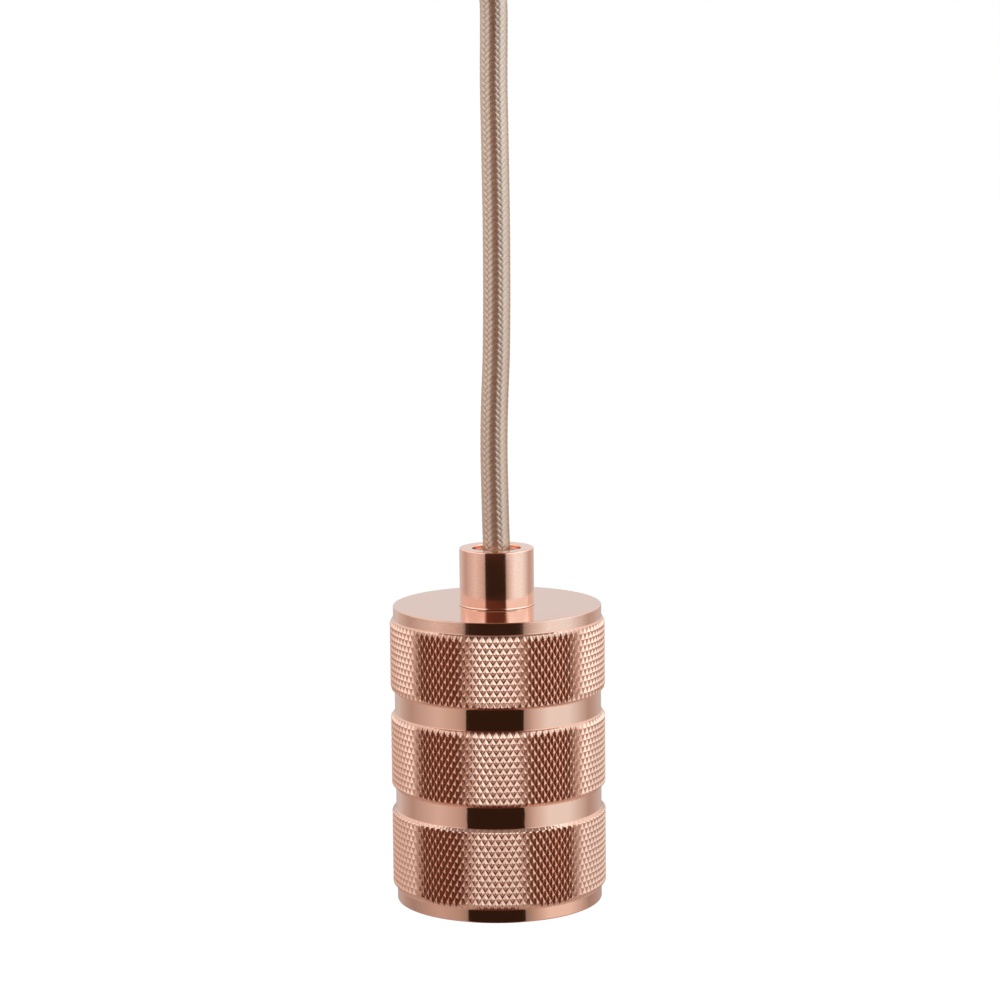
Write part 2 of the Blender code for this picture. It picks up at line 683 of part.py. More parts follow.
def make_lamp_cores():
    """The three insulated cores, from the flex's end to their terminals."""
    start = -CORD_INTO_PLATE - FIT
    out = NIPPLE_END - CORE_DIAMETER
    hole_floor = BLOCK_TOP - WIRE_HOLE_DEPTH + FIT
    height = (out + BLOCK_TOP) / 2
    for pole, side, colour in (("live", 1, LIVE_PVC), ("neutral", -1, NEUTRAL_PVC)):
        angle = LAMP_CORE_ANGLES[pole]
        aside = core_start(angle, out)[1]
        route = [
            core_start(angle, start),
            core_start(angle, (start + out) / 2),
            core_start(angle, out),
            (side * (CORE_PITCH_RADIUS + WIRE_X * 0.2), aside / 2, height + CORE_DIAMETER * 0.4),
            (side * WIRE_X * 0.62, 0, height - CORE_DIAMETER * 0.1),
            (side * WIRE_X * 0.94, 0, BLOCK_TOP + CORE_DIAMETER * 0.8),
            (side * WIRE_X, 0, BLOCK_TOP),
            (side * WIRE_X, 0, hole_floor),
        ]
        points = smooth_route(route, CORE_SPACING)
        place(tube(f"core_{pole}", points, CORE_DIAMETER), LAMP, colour)
    beside = M3[0] / 2 + FIT + CORE_DIAMETER / 2
    clamp = earth_core_height()
    angle = LAMP_CORE_ANGLES["earth"]
    route = [
        core_start(angle, start),
        core_start(angle, (start + out) / 2),
        core_start(angle, out - CORE_DIAMETER / 2),
        (beside * 0.35, NIPPLE_DIAMETER * 0.34, out - CORE_DIAMETER * 1.25),
        (beside * 0.85, NIPPLE_DIAMETER * 0.58, clamp - CORE_DIAMETER * 0.55),
        (beside, EARTH_SCREW_Y - M3[0] / 2, clamp),
        (beside, EARTH_SCREW_Y + M3[0] / 2, clamp),
    ]
    points = smooth_route(route, CORE_SPACING)
    place(tube("core_earth", points, CORE_DIAMETER), LAMP, EARTH_PVC)


def make_cord():
    """The flex: straight inside both grips, with a slight sway between them."""
    lamp_mouth = PLATE_Z + FIT + GRIP_HEIGHT
    below = PLATE_Z - CORD_INTO_PLATE
    route = [(0, 0, below), (0, 0, (below + lamp_mouth) / 2)]
    route += [(sway, 0, lamp_mouth + FREE_CORD * share) for share, sway in CORD_SWAY]
    route += [(0, 0, (ROSE_GRIP_END + CORD_TOP) / 2), (0, 0, CORD_TOP)]
    points = smooth_route(route, CORD_SPACING)
    place(tube("flex_cord", points, CORD_DIAMETER), CEILING, BRAID)


def make_rose():
    """A spun cup with a rounded corner, closed below and open to the ceiling."""
    outer = ROSE_DIAMETER / 2
    inner = outer - ROSE_WALL
    floor = -ROSE_HEIGHT
    centre = (outer - ROSE_CORNER, floor + ROSE_CORNER)
    profile = [
        (outer, 0),
        *arc(centre, ROSE_CORNER, 0, -90, ROSE_CORNER_STEPS),
        (THREAD_HOLE / 2, floor),
        (THREAD_HOLE / 2, floor + ROSE_WALL),
        *arc(centre, ROSE_CORNER - ROSE_WALL, -90, 0, ROSE_CORNER_STEPS),
        (inner, 0),
    ]
    rose = place(turned("ceiling_rose", profile, LARGE_SIDES), CEILING, COPPER)
    for number, side in ((1, 1), (2, -1)):
        turn = (0, side * math.pi / 2, 0)
        at = (side * outer, 0, -SIDE_SCREW_DROP)
        low, high = -2 * ROSE_WALL, OVERCUT
        cut_hole(rose, CEILING, M4[0] + 2 * FIT, low, high, at=at, turn=turn)
        seat = (side * (outer + FIT), 0, -SIDE_SCREW_DROP)
        make_screw(f"rose_side_screw_{number}", CEILING, M4, SIDE_SCREW_LENGTH, seat, turn, COPPER)


def lug_face():
    """Outer face of the bracket's lugs: their corners clear the rose's round wall."""
    inner = ROSE_DIAMETER / 2 - ROSE_WALL
    return math.sqrt(inner ** 2 - (STRAP_WIDTH / 2) ** 2) - FIT


def make_bracket():
    """A steel strap under the ceiling, with slots for its screws and two tapped lugs."""
    middle = -STRAP_SHEET / 2
    lug = lug_face() - STRAP_SHEET / 2
    path = [(-lug, 0, -STRAP_LUG), (-lug, 0, middle), (lug, 0, middle), (lug, 0, -STRAP_LUG)]
    strip = bent_strip("ceiling_bracket", path, STRAP_WIDTH, STRAP_SHEET, "y")
    bracket = place(strip, CEILING, STEEL)
    half_length, half_width = STRAP_SLOT[0] / 2, STRAP_SLOT[1] / 2
    for side in (-1, 1):
        low = (side * STRAP_SLOT_X - half_length, -half_width, -2 * STRAP_SHEET)
        high = (side * STRAP_SLOT_X + half_length, half_width, OVERCUT)
        cut_box(bracket, CEILING, low, high)
        turn = (0, side * math.pi / 2, 0)
        at = (side * lug, 0, -SIDE_SCREW_DROP)
        hole = M4[0] + 2 * FIT
        cut_hole(bracket, CEILING, hole, -STRAP_SHEET, STRAP_SHEET, at=at, turn=turn)


def strip_ports():
    return [-STRIP_PITCH, 0, STRIP_PITCH]


def make_terminal_strip():
    """A three-pole nylon strip: a wire port through each pole, a screw at each end."""
    end = STRIP_START + STRIP_LENGTH
    bottom = STRIP_TOP - STRIP_HEIGHT
    low, high = (STRIP_START, -STRIP_WIDTH / 2, bottom), (end, STRIP_WIDTH / 2, STRIP_TOP)
    strip = place(box("terminal_strip", low, high), CEILING, NYLON)
    port = CORE_DIAMETER + 2 * FIT
    screw_length = STRIP_PORT_Z - CORE_DIAMETER / 2 - bottom - STRIP_SCREW[2] - FIT
    number = 0
    for y in strip_ports():
        at = (STRIP_START, y, STRIP_PORT_Z)
        turn = (0, math.pi / 2, 0)
        cut_hole(strip, CEILING, port, -OVERCUT, STRIP_LENGTH + OVERCUT, at=at, turn=turn)
        for x in (STRIP_START + STRIP_SCREW_INSET, end - STRIP_SCREW_INSET):
            number += 1
            hole = STRIP_SCREW[0] + 2 * FIT
            high_z = STRIP_PORT_Z - bottom
            at = (x, y, bottom)
            cut_hole(strip, CEILING, hole, -OVERCUT, high_z, at=at)
            seat = (x, y, bottom + STRIP_SCREW[2])
            name = f"strip_screw_{number}"
            make_screw(name, CEILING, STRIP_SCREW, screw_length, seat, (math.pi, 0, 0), BRASS)
    x, y = (STRIP_START + end) / 2, STRIP_PITCH / 2
    at = (x, y, bottom)
    cut_hole(strip, CEILING, STRIP_SCREW[0] + 2 * FIT, -OVERCUT, STRIP_HEIGHT + OVERCUT, at=at)
    fixing = (STRIP_SCREW[0], M3[1], M3[2])
    seat = (x, y, bottom - FIT)
    make_screw("strip_fixing_screw", CEILING, fixing, STRIP_HEIGHT, seat, (math.pi, 0, 0))


def make_rose_cores():
    start = CORD_TOP + FIT
    ends = dict(zip(("earth", "live", "neutral"), strip_ports()))
    colours = {"live": LIVE_PVC, "neutral": NEUTRAL_PVC, "earth": EARTH_PVC}
    inside = STRIP_START + STRIP_SCREW_INSET + STRIP_SCREW[0] / 2
    rise = STRIP_PORT_Z - start
    for pole, y in ends.items():
        angle = ROSE_CORE_ANGLES[pole]
        x0, y0, z0 = core_start(angle, ROSE_NIPPLE_TOP)
        route = [
            core_start(angle, start),
            (x0, y0, z0),
            (x0 + STRIP_START * 0.06, y0 + (y - y0) * 0.12, start + rise * 0.50),
            (x0 + (STRIP_START - x0) * 0.34, y0 + (y - y0) * 0.52, start + rise * 0.84),
            (STRIP_START - CORE_DIAMETER * 1.4, y, STRIP_PORT_Z),
            (STRIP_START, y, STRIP_PORT_Z),
            (inside, y, STRIP_PORT_Z),
        ]
        points = smooth_route(route, CORE_SPACING)
        place(tube(f"rose_core_{pole}", points, CORE_DIAMETER), CEILING, colours[pole])


make_body()
make_grip("lamp", LAMP, COPPER, (0, 0, FIT), (0, 0, 0))
make_grip("rose", CEILING, COPPER, (0, 0, ROSE_GRIP_TOP), (math.pi, 0, 0))
make_nipple("lamp", LAMP, NIPPLE_END, FIT + NIPPLE_IN_GRIP)
make_nipple("rose", CEILING, ROSE_GRIP_TOP - NIPPLE_IN_GRIP, ROSE_NIPPLE_TOP)
make_nut("lamp", LAMP, NUT_TOP - NUT_HEIGHT)
make_nut("rose", CEILING, ROSE_NUT_TOP - NUT_HEIGHT)
make_bridge()
make_earth_screw()
make_insulator()
make_screw_shell()
make_centre_contact()
make_terminal("live", 1, LIVE_SCREW_X)
make_terminal("neutral", -1, -SHELL_SCREW_X)
make_lamp_cores()
make_cord()
make_rose()
make_bracket()
make_terminal_strip()
make_rose_cores()
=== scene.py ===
# %% [markdown]
# # A knurled copper pendant light
#
# The object is a turned lampholder in copper-finished brass. Three knurled bands give
# the hand a grip, and a braided flex carries it under a ceiling rose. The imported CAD
# model is the frame: each piece below sits where its CAD node sits, and stands in for
# it with the detail that the eye expects of the real one.
#
# All lengths are written in millimetres and turned to metres in one place.

# %% Load the frame
import json
import math

import bmesh
import bpy
import numpy as np
from mathutils import Matrix

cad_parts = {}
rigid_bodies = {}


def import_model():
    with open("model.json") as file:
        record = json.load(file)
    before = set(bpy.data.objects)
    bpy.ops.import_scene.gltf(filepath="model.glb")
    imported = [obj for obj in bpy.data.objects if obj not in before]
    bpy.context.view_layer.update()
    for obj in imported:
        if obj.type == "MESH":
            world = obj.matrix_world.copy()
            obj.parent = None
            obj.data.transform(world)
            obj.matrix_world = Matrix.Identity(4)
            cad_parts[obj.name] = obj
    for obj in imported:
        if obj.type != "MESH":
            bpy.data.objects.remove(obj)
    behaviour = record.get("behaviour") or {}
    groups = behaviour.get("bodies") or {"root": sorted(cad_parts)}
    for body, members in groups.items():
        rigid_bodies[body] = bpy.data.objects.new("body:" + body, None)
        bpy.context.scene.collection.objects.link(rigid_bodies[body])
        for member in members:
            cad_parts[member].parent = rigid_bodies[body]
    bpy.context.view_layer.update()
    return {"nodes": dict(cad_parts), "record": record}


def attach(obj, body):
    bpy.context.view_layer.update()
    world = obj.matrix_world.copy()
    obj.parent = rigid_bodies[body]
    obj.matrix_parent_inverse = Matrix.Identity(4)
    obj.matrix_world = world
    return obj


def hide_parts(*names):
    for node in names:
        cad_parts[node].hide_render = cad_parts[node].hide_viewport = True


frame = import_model()
MM = 0.001
PLATE = -182.4                      # height of the lamp's polished top plate
BODY_RADIUS = 25.0
FLEX = 6.3

# %% [markdown]
# ## The camera
#
# The photograph was taken with a long lens, a little above the lamp, and the flex
# leaves at the top edge. The lens, distance and tilt come from the ellipses of the
# plate and the foot: a wide flat ellipse says how far above its plane the camera
# stood. The lamp also leans by half a degree in the frame, which is a roll of the
# camera, because a hanging lamp is upright.

# %% Camera
FOCAL_PIXELS = 3076.3               # the photograph is 1000 pixels wide
camera_data = bpy.data.cameras.new("camera")
camera_data.sensor_width = 36.0
camera_data.lens = FOCAL_PIXELS / 1000 * camera_data.sensor_width
camera_data.clip_start = 0.01
camera = bpy.data.objects.new("camera", camera_data)
tilt = math.radians(90 - 8.362)
roll = math.radians(-0.57)
camera.matrix_world = (
    Matrix.Translation((0.94 * MM, -703.5 * MM, (PLATE + 127.8) * MM))
    @ Matrix.Rotation(tilt, 4, "X")
    @ Matrix.Rotation(roll, 4, "Z")
)
bpy.context.scene.collection.objects.link(camera)
bpy.context.scene.camera = camera
bpy.context.scene.view_settings.view_transform = "Standard"
print("lens:", round(camera_data.lens, 2), "mm")

# %% [markdown]
# ## Surfaces on a grid
#
# Every turned, rolled or braided piece here is a function of two parameters, one
# along a profile and one around the axis. Computed as whole arrays, the grid of
# points becomes a mesh in one step, and the same helper serves them all. A grid
# can close around, close along its profile, or be capped by a centre point.

# %% Grid helper
def grid_mesh(name, points, closed_profile=False, caps=False, diagonal=None, uv=None, finish=None):
    """Make a mesh of points[row, column], which closes around the columns.

    Faces point outwards when rows run down the outside and columns run to the
    right as seen from outside. closed_profile joins the last row to the first;
    caps fills the first and last ring. diagonal[row, column] splits each quad:
    True from its first corner, False from its second. finish[row] is the
    material index of the faces under that row.
    """
    rows, columns = points.shape[:2]
    index = np.arange(rows * columns).reshape(rows, columns)
    upper = index if closed_profile else index[:-1]
    lower = np.roll(index, -1, axis=0) if closed_profile else index[1:]
    a, b = upper, np.roll(upper, -1, axis=1)
    d, c = lower, np.roll(lower, -1, axis=1)
    if diagonal is None:
        corners = np.stack([a, d, c, b], axis=-1).reshape(-1, 4)
    else:
        first = np.stack([a, d, c, a, c, b], axis=-1)
        second = np.stack([a, d, b, d, c, b], axis=-1)
        corners = np.where(diagonal[..., None], first, second).reshape(-1, 3)
    sides = corners.shape[1]
    loops = corners.ravel()
    starts = np.arange(len(corners)) * sides
    totals = np.full(len(corners), sides)
    if caps:
        loops = np.concatenate([loops, index[0], index[-1][::-1]])
        starts = np.concatenate([starts, [len(corners) * sides, len(corners) * sides + columns]])
        totals = np.concatenate([totals, [columns, columns]])
    mesh = bpy.data.meshes.new(name)
    mesh.vertices.add(rows * columns)
    mesh.vertices.foreach_set("co", (points * MM).astype(np.float32).ravel())
    mesh.loops.add(len(loops))
    mesh.loops.foreach_set("vertex_index", loops.astype(np.int32))
    mesh.polygons.add(len(starts))
    mesh.polygons.foreach_set("loop_start", starts.astype(np.int32))
    mesh.polygons.foreach_set("loop_total", totals.astype(np.int32))
    mesh.polygons.foreach_set("use_smooth", np.ones(len(starts), bool))
    if finish is not None:
        per_row = corners.shape[0] // len(upper)
        mesh.polygons.foreach_set("material_index", np.repeat(finish, per_row).astype(np.int32))
    if uv is not None:
        around, along = uv
        layer = mesh.uv_layers.new(name="UVMap")
        row_of, column_of = np.divmod(loops, columns)
        first_column = np.repeat(column_of[starts], totals)
        wrapped = (column_of < first_column) & (np.arange(len(loops)) < len(corners) * sides)
        u = around[column_of] + wrapped * (around[1] - around[0]) * columns
        layer.data.foreach_set("uv", np.stack([u, along[row_of]], axis=1).astype(np.float32).ravel())
    mesh.update(calc_edges=True)
    mesh.validate()
    piece = bpy.data.objects.new(name, mesh)
    bpy.context.scene.collection.objects.link(piece)
    return piece


def around_angles(columns):
    """Angles in radians for one turn; 0 faces the camera and 90 degrees is +X."""
    return np.linspace(0, 2 * math.pi, columns, endpoint=False)


def turn(name, profile, columns, closed_profile=True, base=0.0, finish=None, sharp=30):
    """Turn a profile of (radius, height) rows, which runs down the outside.

    Each point is (r sin t, -r cos t, z), so that t = 0 faces the camera.
    """
    t = around_angles(columns)
    radius, height = np.array(profile, float).T
    points = np.empty((len(radius), columns, 3))
    points[..., 0] = radius[:, None] * np.sin(t)
    points[..., 1] = -radius[:, None] * np.cos(t)
    points[..., 2] = (height + base)[:, None]
    piece = grid_mesh(name, points, closed_profile, finish=finish)
    piece.data.set_sharp_from_angle(angle=math.radians(sharp))
    return piece


def rounded(corners, steps=4):
    """Round each corner of a closed outline of (x, y, radius).

    The arc touches both sides at radius / tan(half the corner's angle) from it.
    """
    points = np.array(corners, float)
    outline = []
    for before, corner, after in zip(np.roll(points, 1, 0), points, np.roll(points, -1, 0)):
        if corner[2] <= 0:
            outline.append(corner[:2])
            continue
        to_before = (before - corner)[:2] / np.linalg.norm((before - corner)[:2])
        to_after = (after - corner)[:2] / np.linalg.norm((after - corner)[:2])
        half = math.acos(np.clip(to_before @ to_after, -1, 1)) / 2
        bisector = (to_before + to_after) / np.linalg.norm(to_before + to_after)
        centre = corner[:2] + bisector * corner[2] / math.sin(half)
        start = corner[:2] + to_before * corner[2] / math.tan(half) - centre
        end = corner[:2] + to_after * corner[2] / math.tan(half) - centre
        share = np.linspace(0, 1, steps + 1)[:, None]
        sweep = math.pi - 2 * half
        arc = (np.sin((1 - share) * sweep) * start + np.sin(share * sweep) * end) / math.sin(sweep)
        outline += list(centre + arc)
    return np.array(outline)


print("helpers ready")

# %% [markdown]
# ## Materials
#
# One function turns the sRGB hex of a swatch to the linear values that the shader
# wants, and one adds a node with its settings and links.

# %% Material helpers
def linear(colour):
    """sRGB hex to linear RGBA."""
    channels = np.array([int(colour[i:i + 2], 16) for i in (0, 2, 4)]) / 255
    values = np.where(channels <= 0.04045, channels / 12.92, ((channels + 0.055) / 1.055) ** 2.4)
    return (*values.tolist(), 1.0)


def add(tree, kind, inputs=None, **settings):
    """Add a node. inputs gives a socket its value, or the output that feeds it."""
    node = tree.nodes.new(kind)
    for key, value in settings.items():
        setattr(node, key, value)
    for key, value in (inputs or {}).items():
        if isinstance(value, bpy.types.NodeSocket):
            tree.links.new(value, node.inputs[key])
        else:
            node.inputs[key].default_value = value
    return node


def new_finish(name, colour, roughness, metallic=0.0, **constants):
    """A material with its Principled shader; returns material, node tree, shader."""
    material = bpy.data.materials.new(name)
    material.use_nodes = True
    tree = material.node_tree
    shader = tree.nodes["Principled BSDF"]
    shader.inputs["Base Color"].default_value = linear(colour)
    shader.inputs["Roughness"].default_value = roughness
    shader.inputs["Metallic"].default_value = metallic
    for key, value in constants.items():
        shader.inputs[key.replace("_", " ")].default_value = value
    material.diffuse_color = linear(colour)
    return material, tree, shader


# %% [markdown]
# ## Copper, five ways
#
# The lamp is brass with a thin copper plating under clear lacquer. The metal is the same
# everywhere, and what tells its parts apart is how the tool left them. The plate and
# grooves are polished on the lathe, the rim and the grips are brushed satin, the knurl
# is pressed and the rose is spun. Brushing and turning draw the grain out around the
# axis, so the noise is stretched sideways: it blurs a reflection up and down and leaves
# its upright edges sharp. The lacquer is the shader's coat, a little smoother than the
# metal.

# %% Copper
COPPER = "f3c4ad"
CLOUD = 9.0                         # mm, slow changes in how bright the polish is


def copper(name, bright, scratch, roughness, spread, scratch_size, bump, stretch=(1, 1, 1)):
    """Copper with a fine grain under clear lacquer.

    The grain runs from the bright colour to the scratch colour, and is scratch_size
    across in mm. stretch scales it on each axis, and below 1 it is drawn out.
    """
    material, tree, shader = new_finish(
        name, bright, roughness, metallic=1.0, Coat_Weight=0.4, Coat_Roughness=roughness * 0.6)
    place = add(tree, "ShaderNodeTexCoord")
    scaled = add(tree, "ShaderNodeMapping", {"Vector": place.outputs["Object"], "Scale": stretch})
    grain = add(tree, "ShaderNodeTexNoise", {
        "Vector": scaled.outputs[0], "Scale": 1 / (scratch_size * MM), "Detail": 3.0, "Roughness": 0.6})
    cloud = add(tree, "ShaderNodeTexNoise", {
        "Vector": place.outputs["Object"], "Scale": 1 / (CLOUD * MM), "Detail": 2.0})
    both = add(tree, "ShaderNodeMath", {0: grain.outputs[0], 1: cloud.outputs[0]}, operation="ADD")
    rough = add(tree, "ShaderNodeMapRange", {
        "Value": both.outputs[0], "From Min": 0.6, "From Max": 1.4,
        "To Min": roughness - spread, "To Max": roughness + spread})
    tree.links.new(rough.outputs[0], shader.inputs["Roughness"])
    tone = add(tree, "ShaderNodeMix", {
        0: grain.outputs[0], 6: linear(bright), 7: linear(scratch)}, data_type="RGBA")
    tree.links.new(tone.outputs[2], shader.inputs["Base Color"])
    relief = add(tree, "ShaderNodeBump", {
        "Height": grain.outputs[0], "Strength": 1.0, "Distance": bump * MM})
    tree.links.new(relief.outputs[0], shader.inputs["Normal"])
    return material


polished = copper("polished_copper_turned", COPPER, "eebda5", 0.07, 0.02, 0.25, 0.0006, (0.2, 0.2, 4))
satin = copper("satin_copper_brushed", "ffddc9", "edb199", 0.13, 0.04, 0.22, 0.003, (0.18, 0.18, 1))
brushed = copper("satin_copper_grip", "ffdfcb", "ffbba0", 0.11, 0.03, 0.22, 0.0045, (0.18, 0.18, 1))
knurled = copper("bright_copper_knurled", "f5c9b3", "efbda6", 0.15, 0.04, 0.18, 0.001)
spun = copper("satin_copper_spun", "f8cdb8", "eeb8a2", 0.24, 0.03, 0.22, 0.002, (0.18, 0.18, 1))
print("copper finishes:", [m.name for m in (polished, satin, brushed, knurled, spun)])

# %% [markdown]
# ## The knurled body
#
# A knurling wheel presses two families of V grooves, each leaning 30 degrees from
# the axis, one to the left and one to the right. Where they cross, small pyramids
# stand up in a diamond pattern, and the tool stops just before their tips are
# sharp, which leaves a tiny flat land on each. Counted across the photograph there
# are 98 diamonds around. A displacement map can't hold such edges, so the lattice
# itself is the mesh: every groove, ridge and land lies on an edge of the grid.

# %% Knurl
KNURL_COUNT = 98
KNURL_DEPTH = 0.41
GROOVE_ANGLE = math.radians(30)
LAND = 0.18                         # half-width of a land, as a share of half a diamond
HALF_WIDTH = math.pi * BODY_RADIUS / KNURL_COUNT
HALF_ROW = HALF_WIDTH / math.tan(GROOVE_ANGLE)
STEPS = np.array([0, LAND, 1 - LAND])


def knurl_height(column, row):
    """Height from 0 in a groove to 1 on a land, at lattice position (column, row).

    Groove family one runs where column + row is odd and whole, family two where
    column - row is. The distance to the nearest groove of each family is a V,
    and the metal that is left is the lower of the two.
    """
    one = np.abs((column + row) % 2 - 1)
    two = np.abs((column - row) % 2 - 1)
    return np.clip(np.minimum(one, two) / (1 - LAND), 0, 1)


print("diamond:", round(2 * HALF_WIDTH, 2), "x", round(2 * HALF_ROW, 2), "mm")

# %% [markdown]
# ## From plate to foot
#
# The outside is one profile: a rim, then three bands between turned chamfers, with
# polished grooves between them. A chamfer is a cone that cuts the knurl off at 45
# degrees, so on each band the surface is the lower of the knurl and the two cones.
# Each band was rolled on its own, so its pattern starts at its own height and angle.

# %% Body
RIM, GROOVE, FOOT = 24.2, 24.05, 24.0
CHAMFER = 0.75
EDGE = 0.2                          # broken edges of the rim and foot
BORE, TOP_WALL, HOLE = 22.0, 3.0, 5.3
BODY_BOTTOM = -69.6
POLISHED, SATIN, KNURLED = 0, 1, 2
BANDS = [
    # top and bottom with both chamfers, first row of peaks, turn, radius above and below
    (-2.85, -19.93, -4.31, -0.154, RIM, GROOVE),
    (-24.98, -42.60, -26.37, -0.31, GROOVE, GROOVE),
    (-47.65, -66.48, -48.51, 0.38, GROOVE, FOOT),
]
columns = 2 * KNURL_COUNT * len(STEPS)
column_place = (np.arange(2 * KNURL_COUNT)[:, None] + STEPS).ravel()


def smooth_rings(profile, finish, turned_by):
    """Plain rings from a profile of (radius, height), the same all the way round."""
    return [(np.full(columns, float(r)), z, finish, turned_by, 0.0) for r, z in profile]


def band_rings(top, bottom, first_peak, turned_by, radius_above, radius_below):
    """Rings of one knurled band, on the heights of its own lattice."""
    rows = (np.arange(-3, 20)[:, None] + STEPS).ravel()
    heights = first_peak - rows * HALF_ROW
    clear = 0.1
    kept = (heights < top - clear) & (heights > bottom + clear)
    rings = []
    for z in (top, *heights[kept], bottom):
        row = (first_peak - z) / HALF_ROW
        radius = BODY_RADIUS - KNURL_DEPTH * (1 - knurl_height(column_place, row))
        above = radius_above + (top - z) * (BODY_RADIUS - radius_above) / CHAMFER
        below = radius_below + (z - bottom) * (BODY_RADIUS - radius_below) / CHAMFER
        rings.append((np.minimum(radius, min(above, below)), z, KNURLED, turned_by, row))
    return rings


def body_rings():
    """Every ring once round the wall's outline, from the plate's hole back to it."""
    first, last = BANDS[0][3], BANDS[-1][3]
    rim_arc = [(RIM - EDGE + EDGE * math.sin(a), -EDGE + EDGE * math.cos(a))
               for a in np.linspace(0, math.pi / 2, 5)]
    flat = [(HOLE, 0.0), (HOLE + 0.4, 0.0), (RIM - EDGE - 0.1, 0.0)]
    rings = smooth_rings(flat + rim_arc[:-1], POLISHED, first)
    rings += smooth_rings([rim_arc[-1], (RIM, -EDGE - 0.1)], SATIN, first)
    for top, bottom, first_peak, turned_by, above, below in BANDS:
        fillet = [(above, top + 0.2), (above, top + 0.1), (above + 0.03, top + 0.03)]
        rings += smooth_rings(fillet, POLISHED, turned_by)
        rings += band_rings(top, bottom, first_peak, turned_by, above, below)
        rings[-1] = (*rings[-1][:2], POLISHED, *rings[-1][3:])
        fillet = [(below + 0.03, bottom - 0.03), (below, bottom - 0.1), (below, bottom - 0.2)]
        rings += smooth_rings(fillet, POLISHED, turned_by)
    under = BODY_BOTTOM
    rings += smooth_rings([
        (FOOT, under + EDGE + 0.1), (FOOT, under + EDGE),
        (FOOT - EDGE * 0.3, under + EDGE * 0.3), (FOOT - EDGE, under),
        (BORE + 0.4, under), (BORE, under + 0.4), (BORE, -TOP_WALL - 1.0),
        (BORE - 0.3, -TOP_WALL - 0.3), (BORE - 1.0, -TOP_WALL), (HOLE, -TOP_WALL)], SATIN, last)
    return rings


def make_body():
    rings = body_rings()
    radius = np.array([ring[0] for ring in rings])
    height = np.array([ring[1] for ring in rings])
    finish = np.array([ring[2] for ring in rings])
    turned_by = np.array([ring[3] for ring in rings])
    row = np.array([ring[4] for ring in rings])
    angle = (column_place[None, :] / 2 + turned_by[:, None]) / KNURL_COUNT * 2 * math.pi
    points = np.stack([
        radius * np.sin(angle),
        -radius * np.cos(angle),
        np.broadcast_to(height[:, None] + PLATE, radius.shape)], axis=-1)
    middle = (row + np.roll(row, -1)) / 2
    cell_row = np.floor(middle).astype(int)
    cell_column = np.repeat(np.arange(2 * KNURL_COUNT), len(STEPS))
    diagonal = (cell_row[:, None] + cell_column[None, :]) % 2 == 1
    body = grid_mesh("body_knurled", points, closed_profile=True, diagonal=diagonal, finish=finish)
    body.data.set_sharp_from_angle(angle=math.radians(25))
    for material in (polished, satin, knurled):
        body.data.materials.append(material)
    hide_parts("knurled_body")
    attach(body, "root")
    return body


body = make_body()
print("body:", len(body.data.polygons), "triangles")

# %% [markdown]
# ## The cord grips
#
# A short turned bushing screws on the hollow nipple and closes on the flex. Its edge
# is broken to a fine round that catches a line of light, and a narrow flare at its foot
# does the same where it stands on the plate. A turned part is one outline carried once
# round the axis. The same grip sits under the ceiling rose, upside down.

# %% Cord grips
GRIP_RADIUS, GRIP_HEIGHT, GRIP_MOUTH = 8.62, 13.4, 5.65
GRIP_FLARE = 0.1                    # how far the foot's edge stands out
GRIP_FOOT = 0.05                    # a hair of clearance over the plate
BUSH_SEAT = 6.9                     # the step in the bore that the nylon bush sits on
ROSE_FLOOR = -25.0


def grip_profile():
    """Outline of the grip's wall as (radius, height): mouth, top, wall, flare, hole."""
    flare = GRIP_RADIUS + GRIP_FLARE
    return rounded([
        (GRIP_MOUTH, BUSH_SEAT, 0), (GRIP_MOUTH, GRIP_HEIGHT, 0.35), (GRIP_RADIUS, GRIP_HEIGHT, 0.3),
        (GRIP_RADIUS, GRIP_FOOT + 0.30, 0), (flare, GRIP_FOOT + 0.13, 0), (flare, GRIP_FOOT, 0),
        (HOLE, GRIP_FOOT, 0), (HOLE, BUSH_SEAT, 0)], steps=5)


def make_grip(name, node, base, upside_down):
    profile = grip_profile()
    if upside_down:
        profile = profile[::-1] * (1, -1)
    grip = turn(name, profile, 160, base=base)
    grip.data.materials.append(brushed)
    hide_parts(node)
    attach(grip, "root")


make_grip("cord_grip_lamp", "lamp_grip", PLATE, False)
make_grip("cord_grip_rose", "rose_grip", ROSE_FLOOR, True)
print("grips done")

# %% [markdown]
# ## The braided flex
#
# A textile flex is a rubber cable inside a tube braided from 24 bundles of rayon
# thread, 12 wound to the left and 12 to the right. Each bundle passes over two and
# under two, so the crossings line up into 12 columns that run along the flex, with
# stitches leaning one way in one column and the other way in the next. Two slanted
# coordinates describe it, and each of them counts the bundles of one family.

# %% Flex
FREE_FLEX = 130.0
GRIP_TOP = PLATE + GRIP_HEIGHT + 0.3
STITCH = 1.38                       # mm along the flex for each stitch of a column
BUNDLES = 12                        # of each family, and the number of columns
RELIEF = 0.16                       # from the gaps to the crown of a bundle
PATTERN_TURN = -0.60                # columns, so that the columns fall as in the photograph
SWAY = [
    (0.00, 0.00), (0.04, -0.12), (0.10, -0.23), (0.16, -0.33), (0.22, -0.23), (0.28, 0.05),
    (0.34, 0.40), (0.42, 0.61), (0.50, 0.70), (0.58, 0.72), (0.66, 0.64), (0.74, 0.54),
    (0.82, 0.45), (0.90, 0.58), (0.955, 0.58), (1.00, 0.00)]
route = [(0, 0, PLATE - 4.0), (0, 0, (PLATE - 4.0 + GRIP_TOP) / 2)]
route += [(sway, 0, GRIP_TOP + FREE_FLEX * share) for share, sway in SWAY]
route += [(0, 0, -29.6), (0, 0, -20.5)]


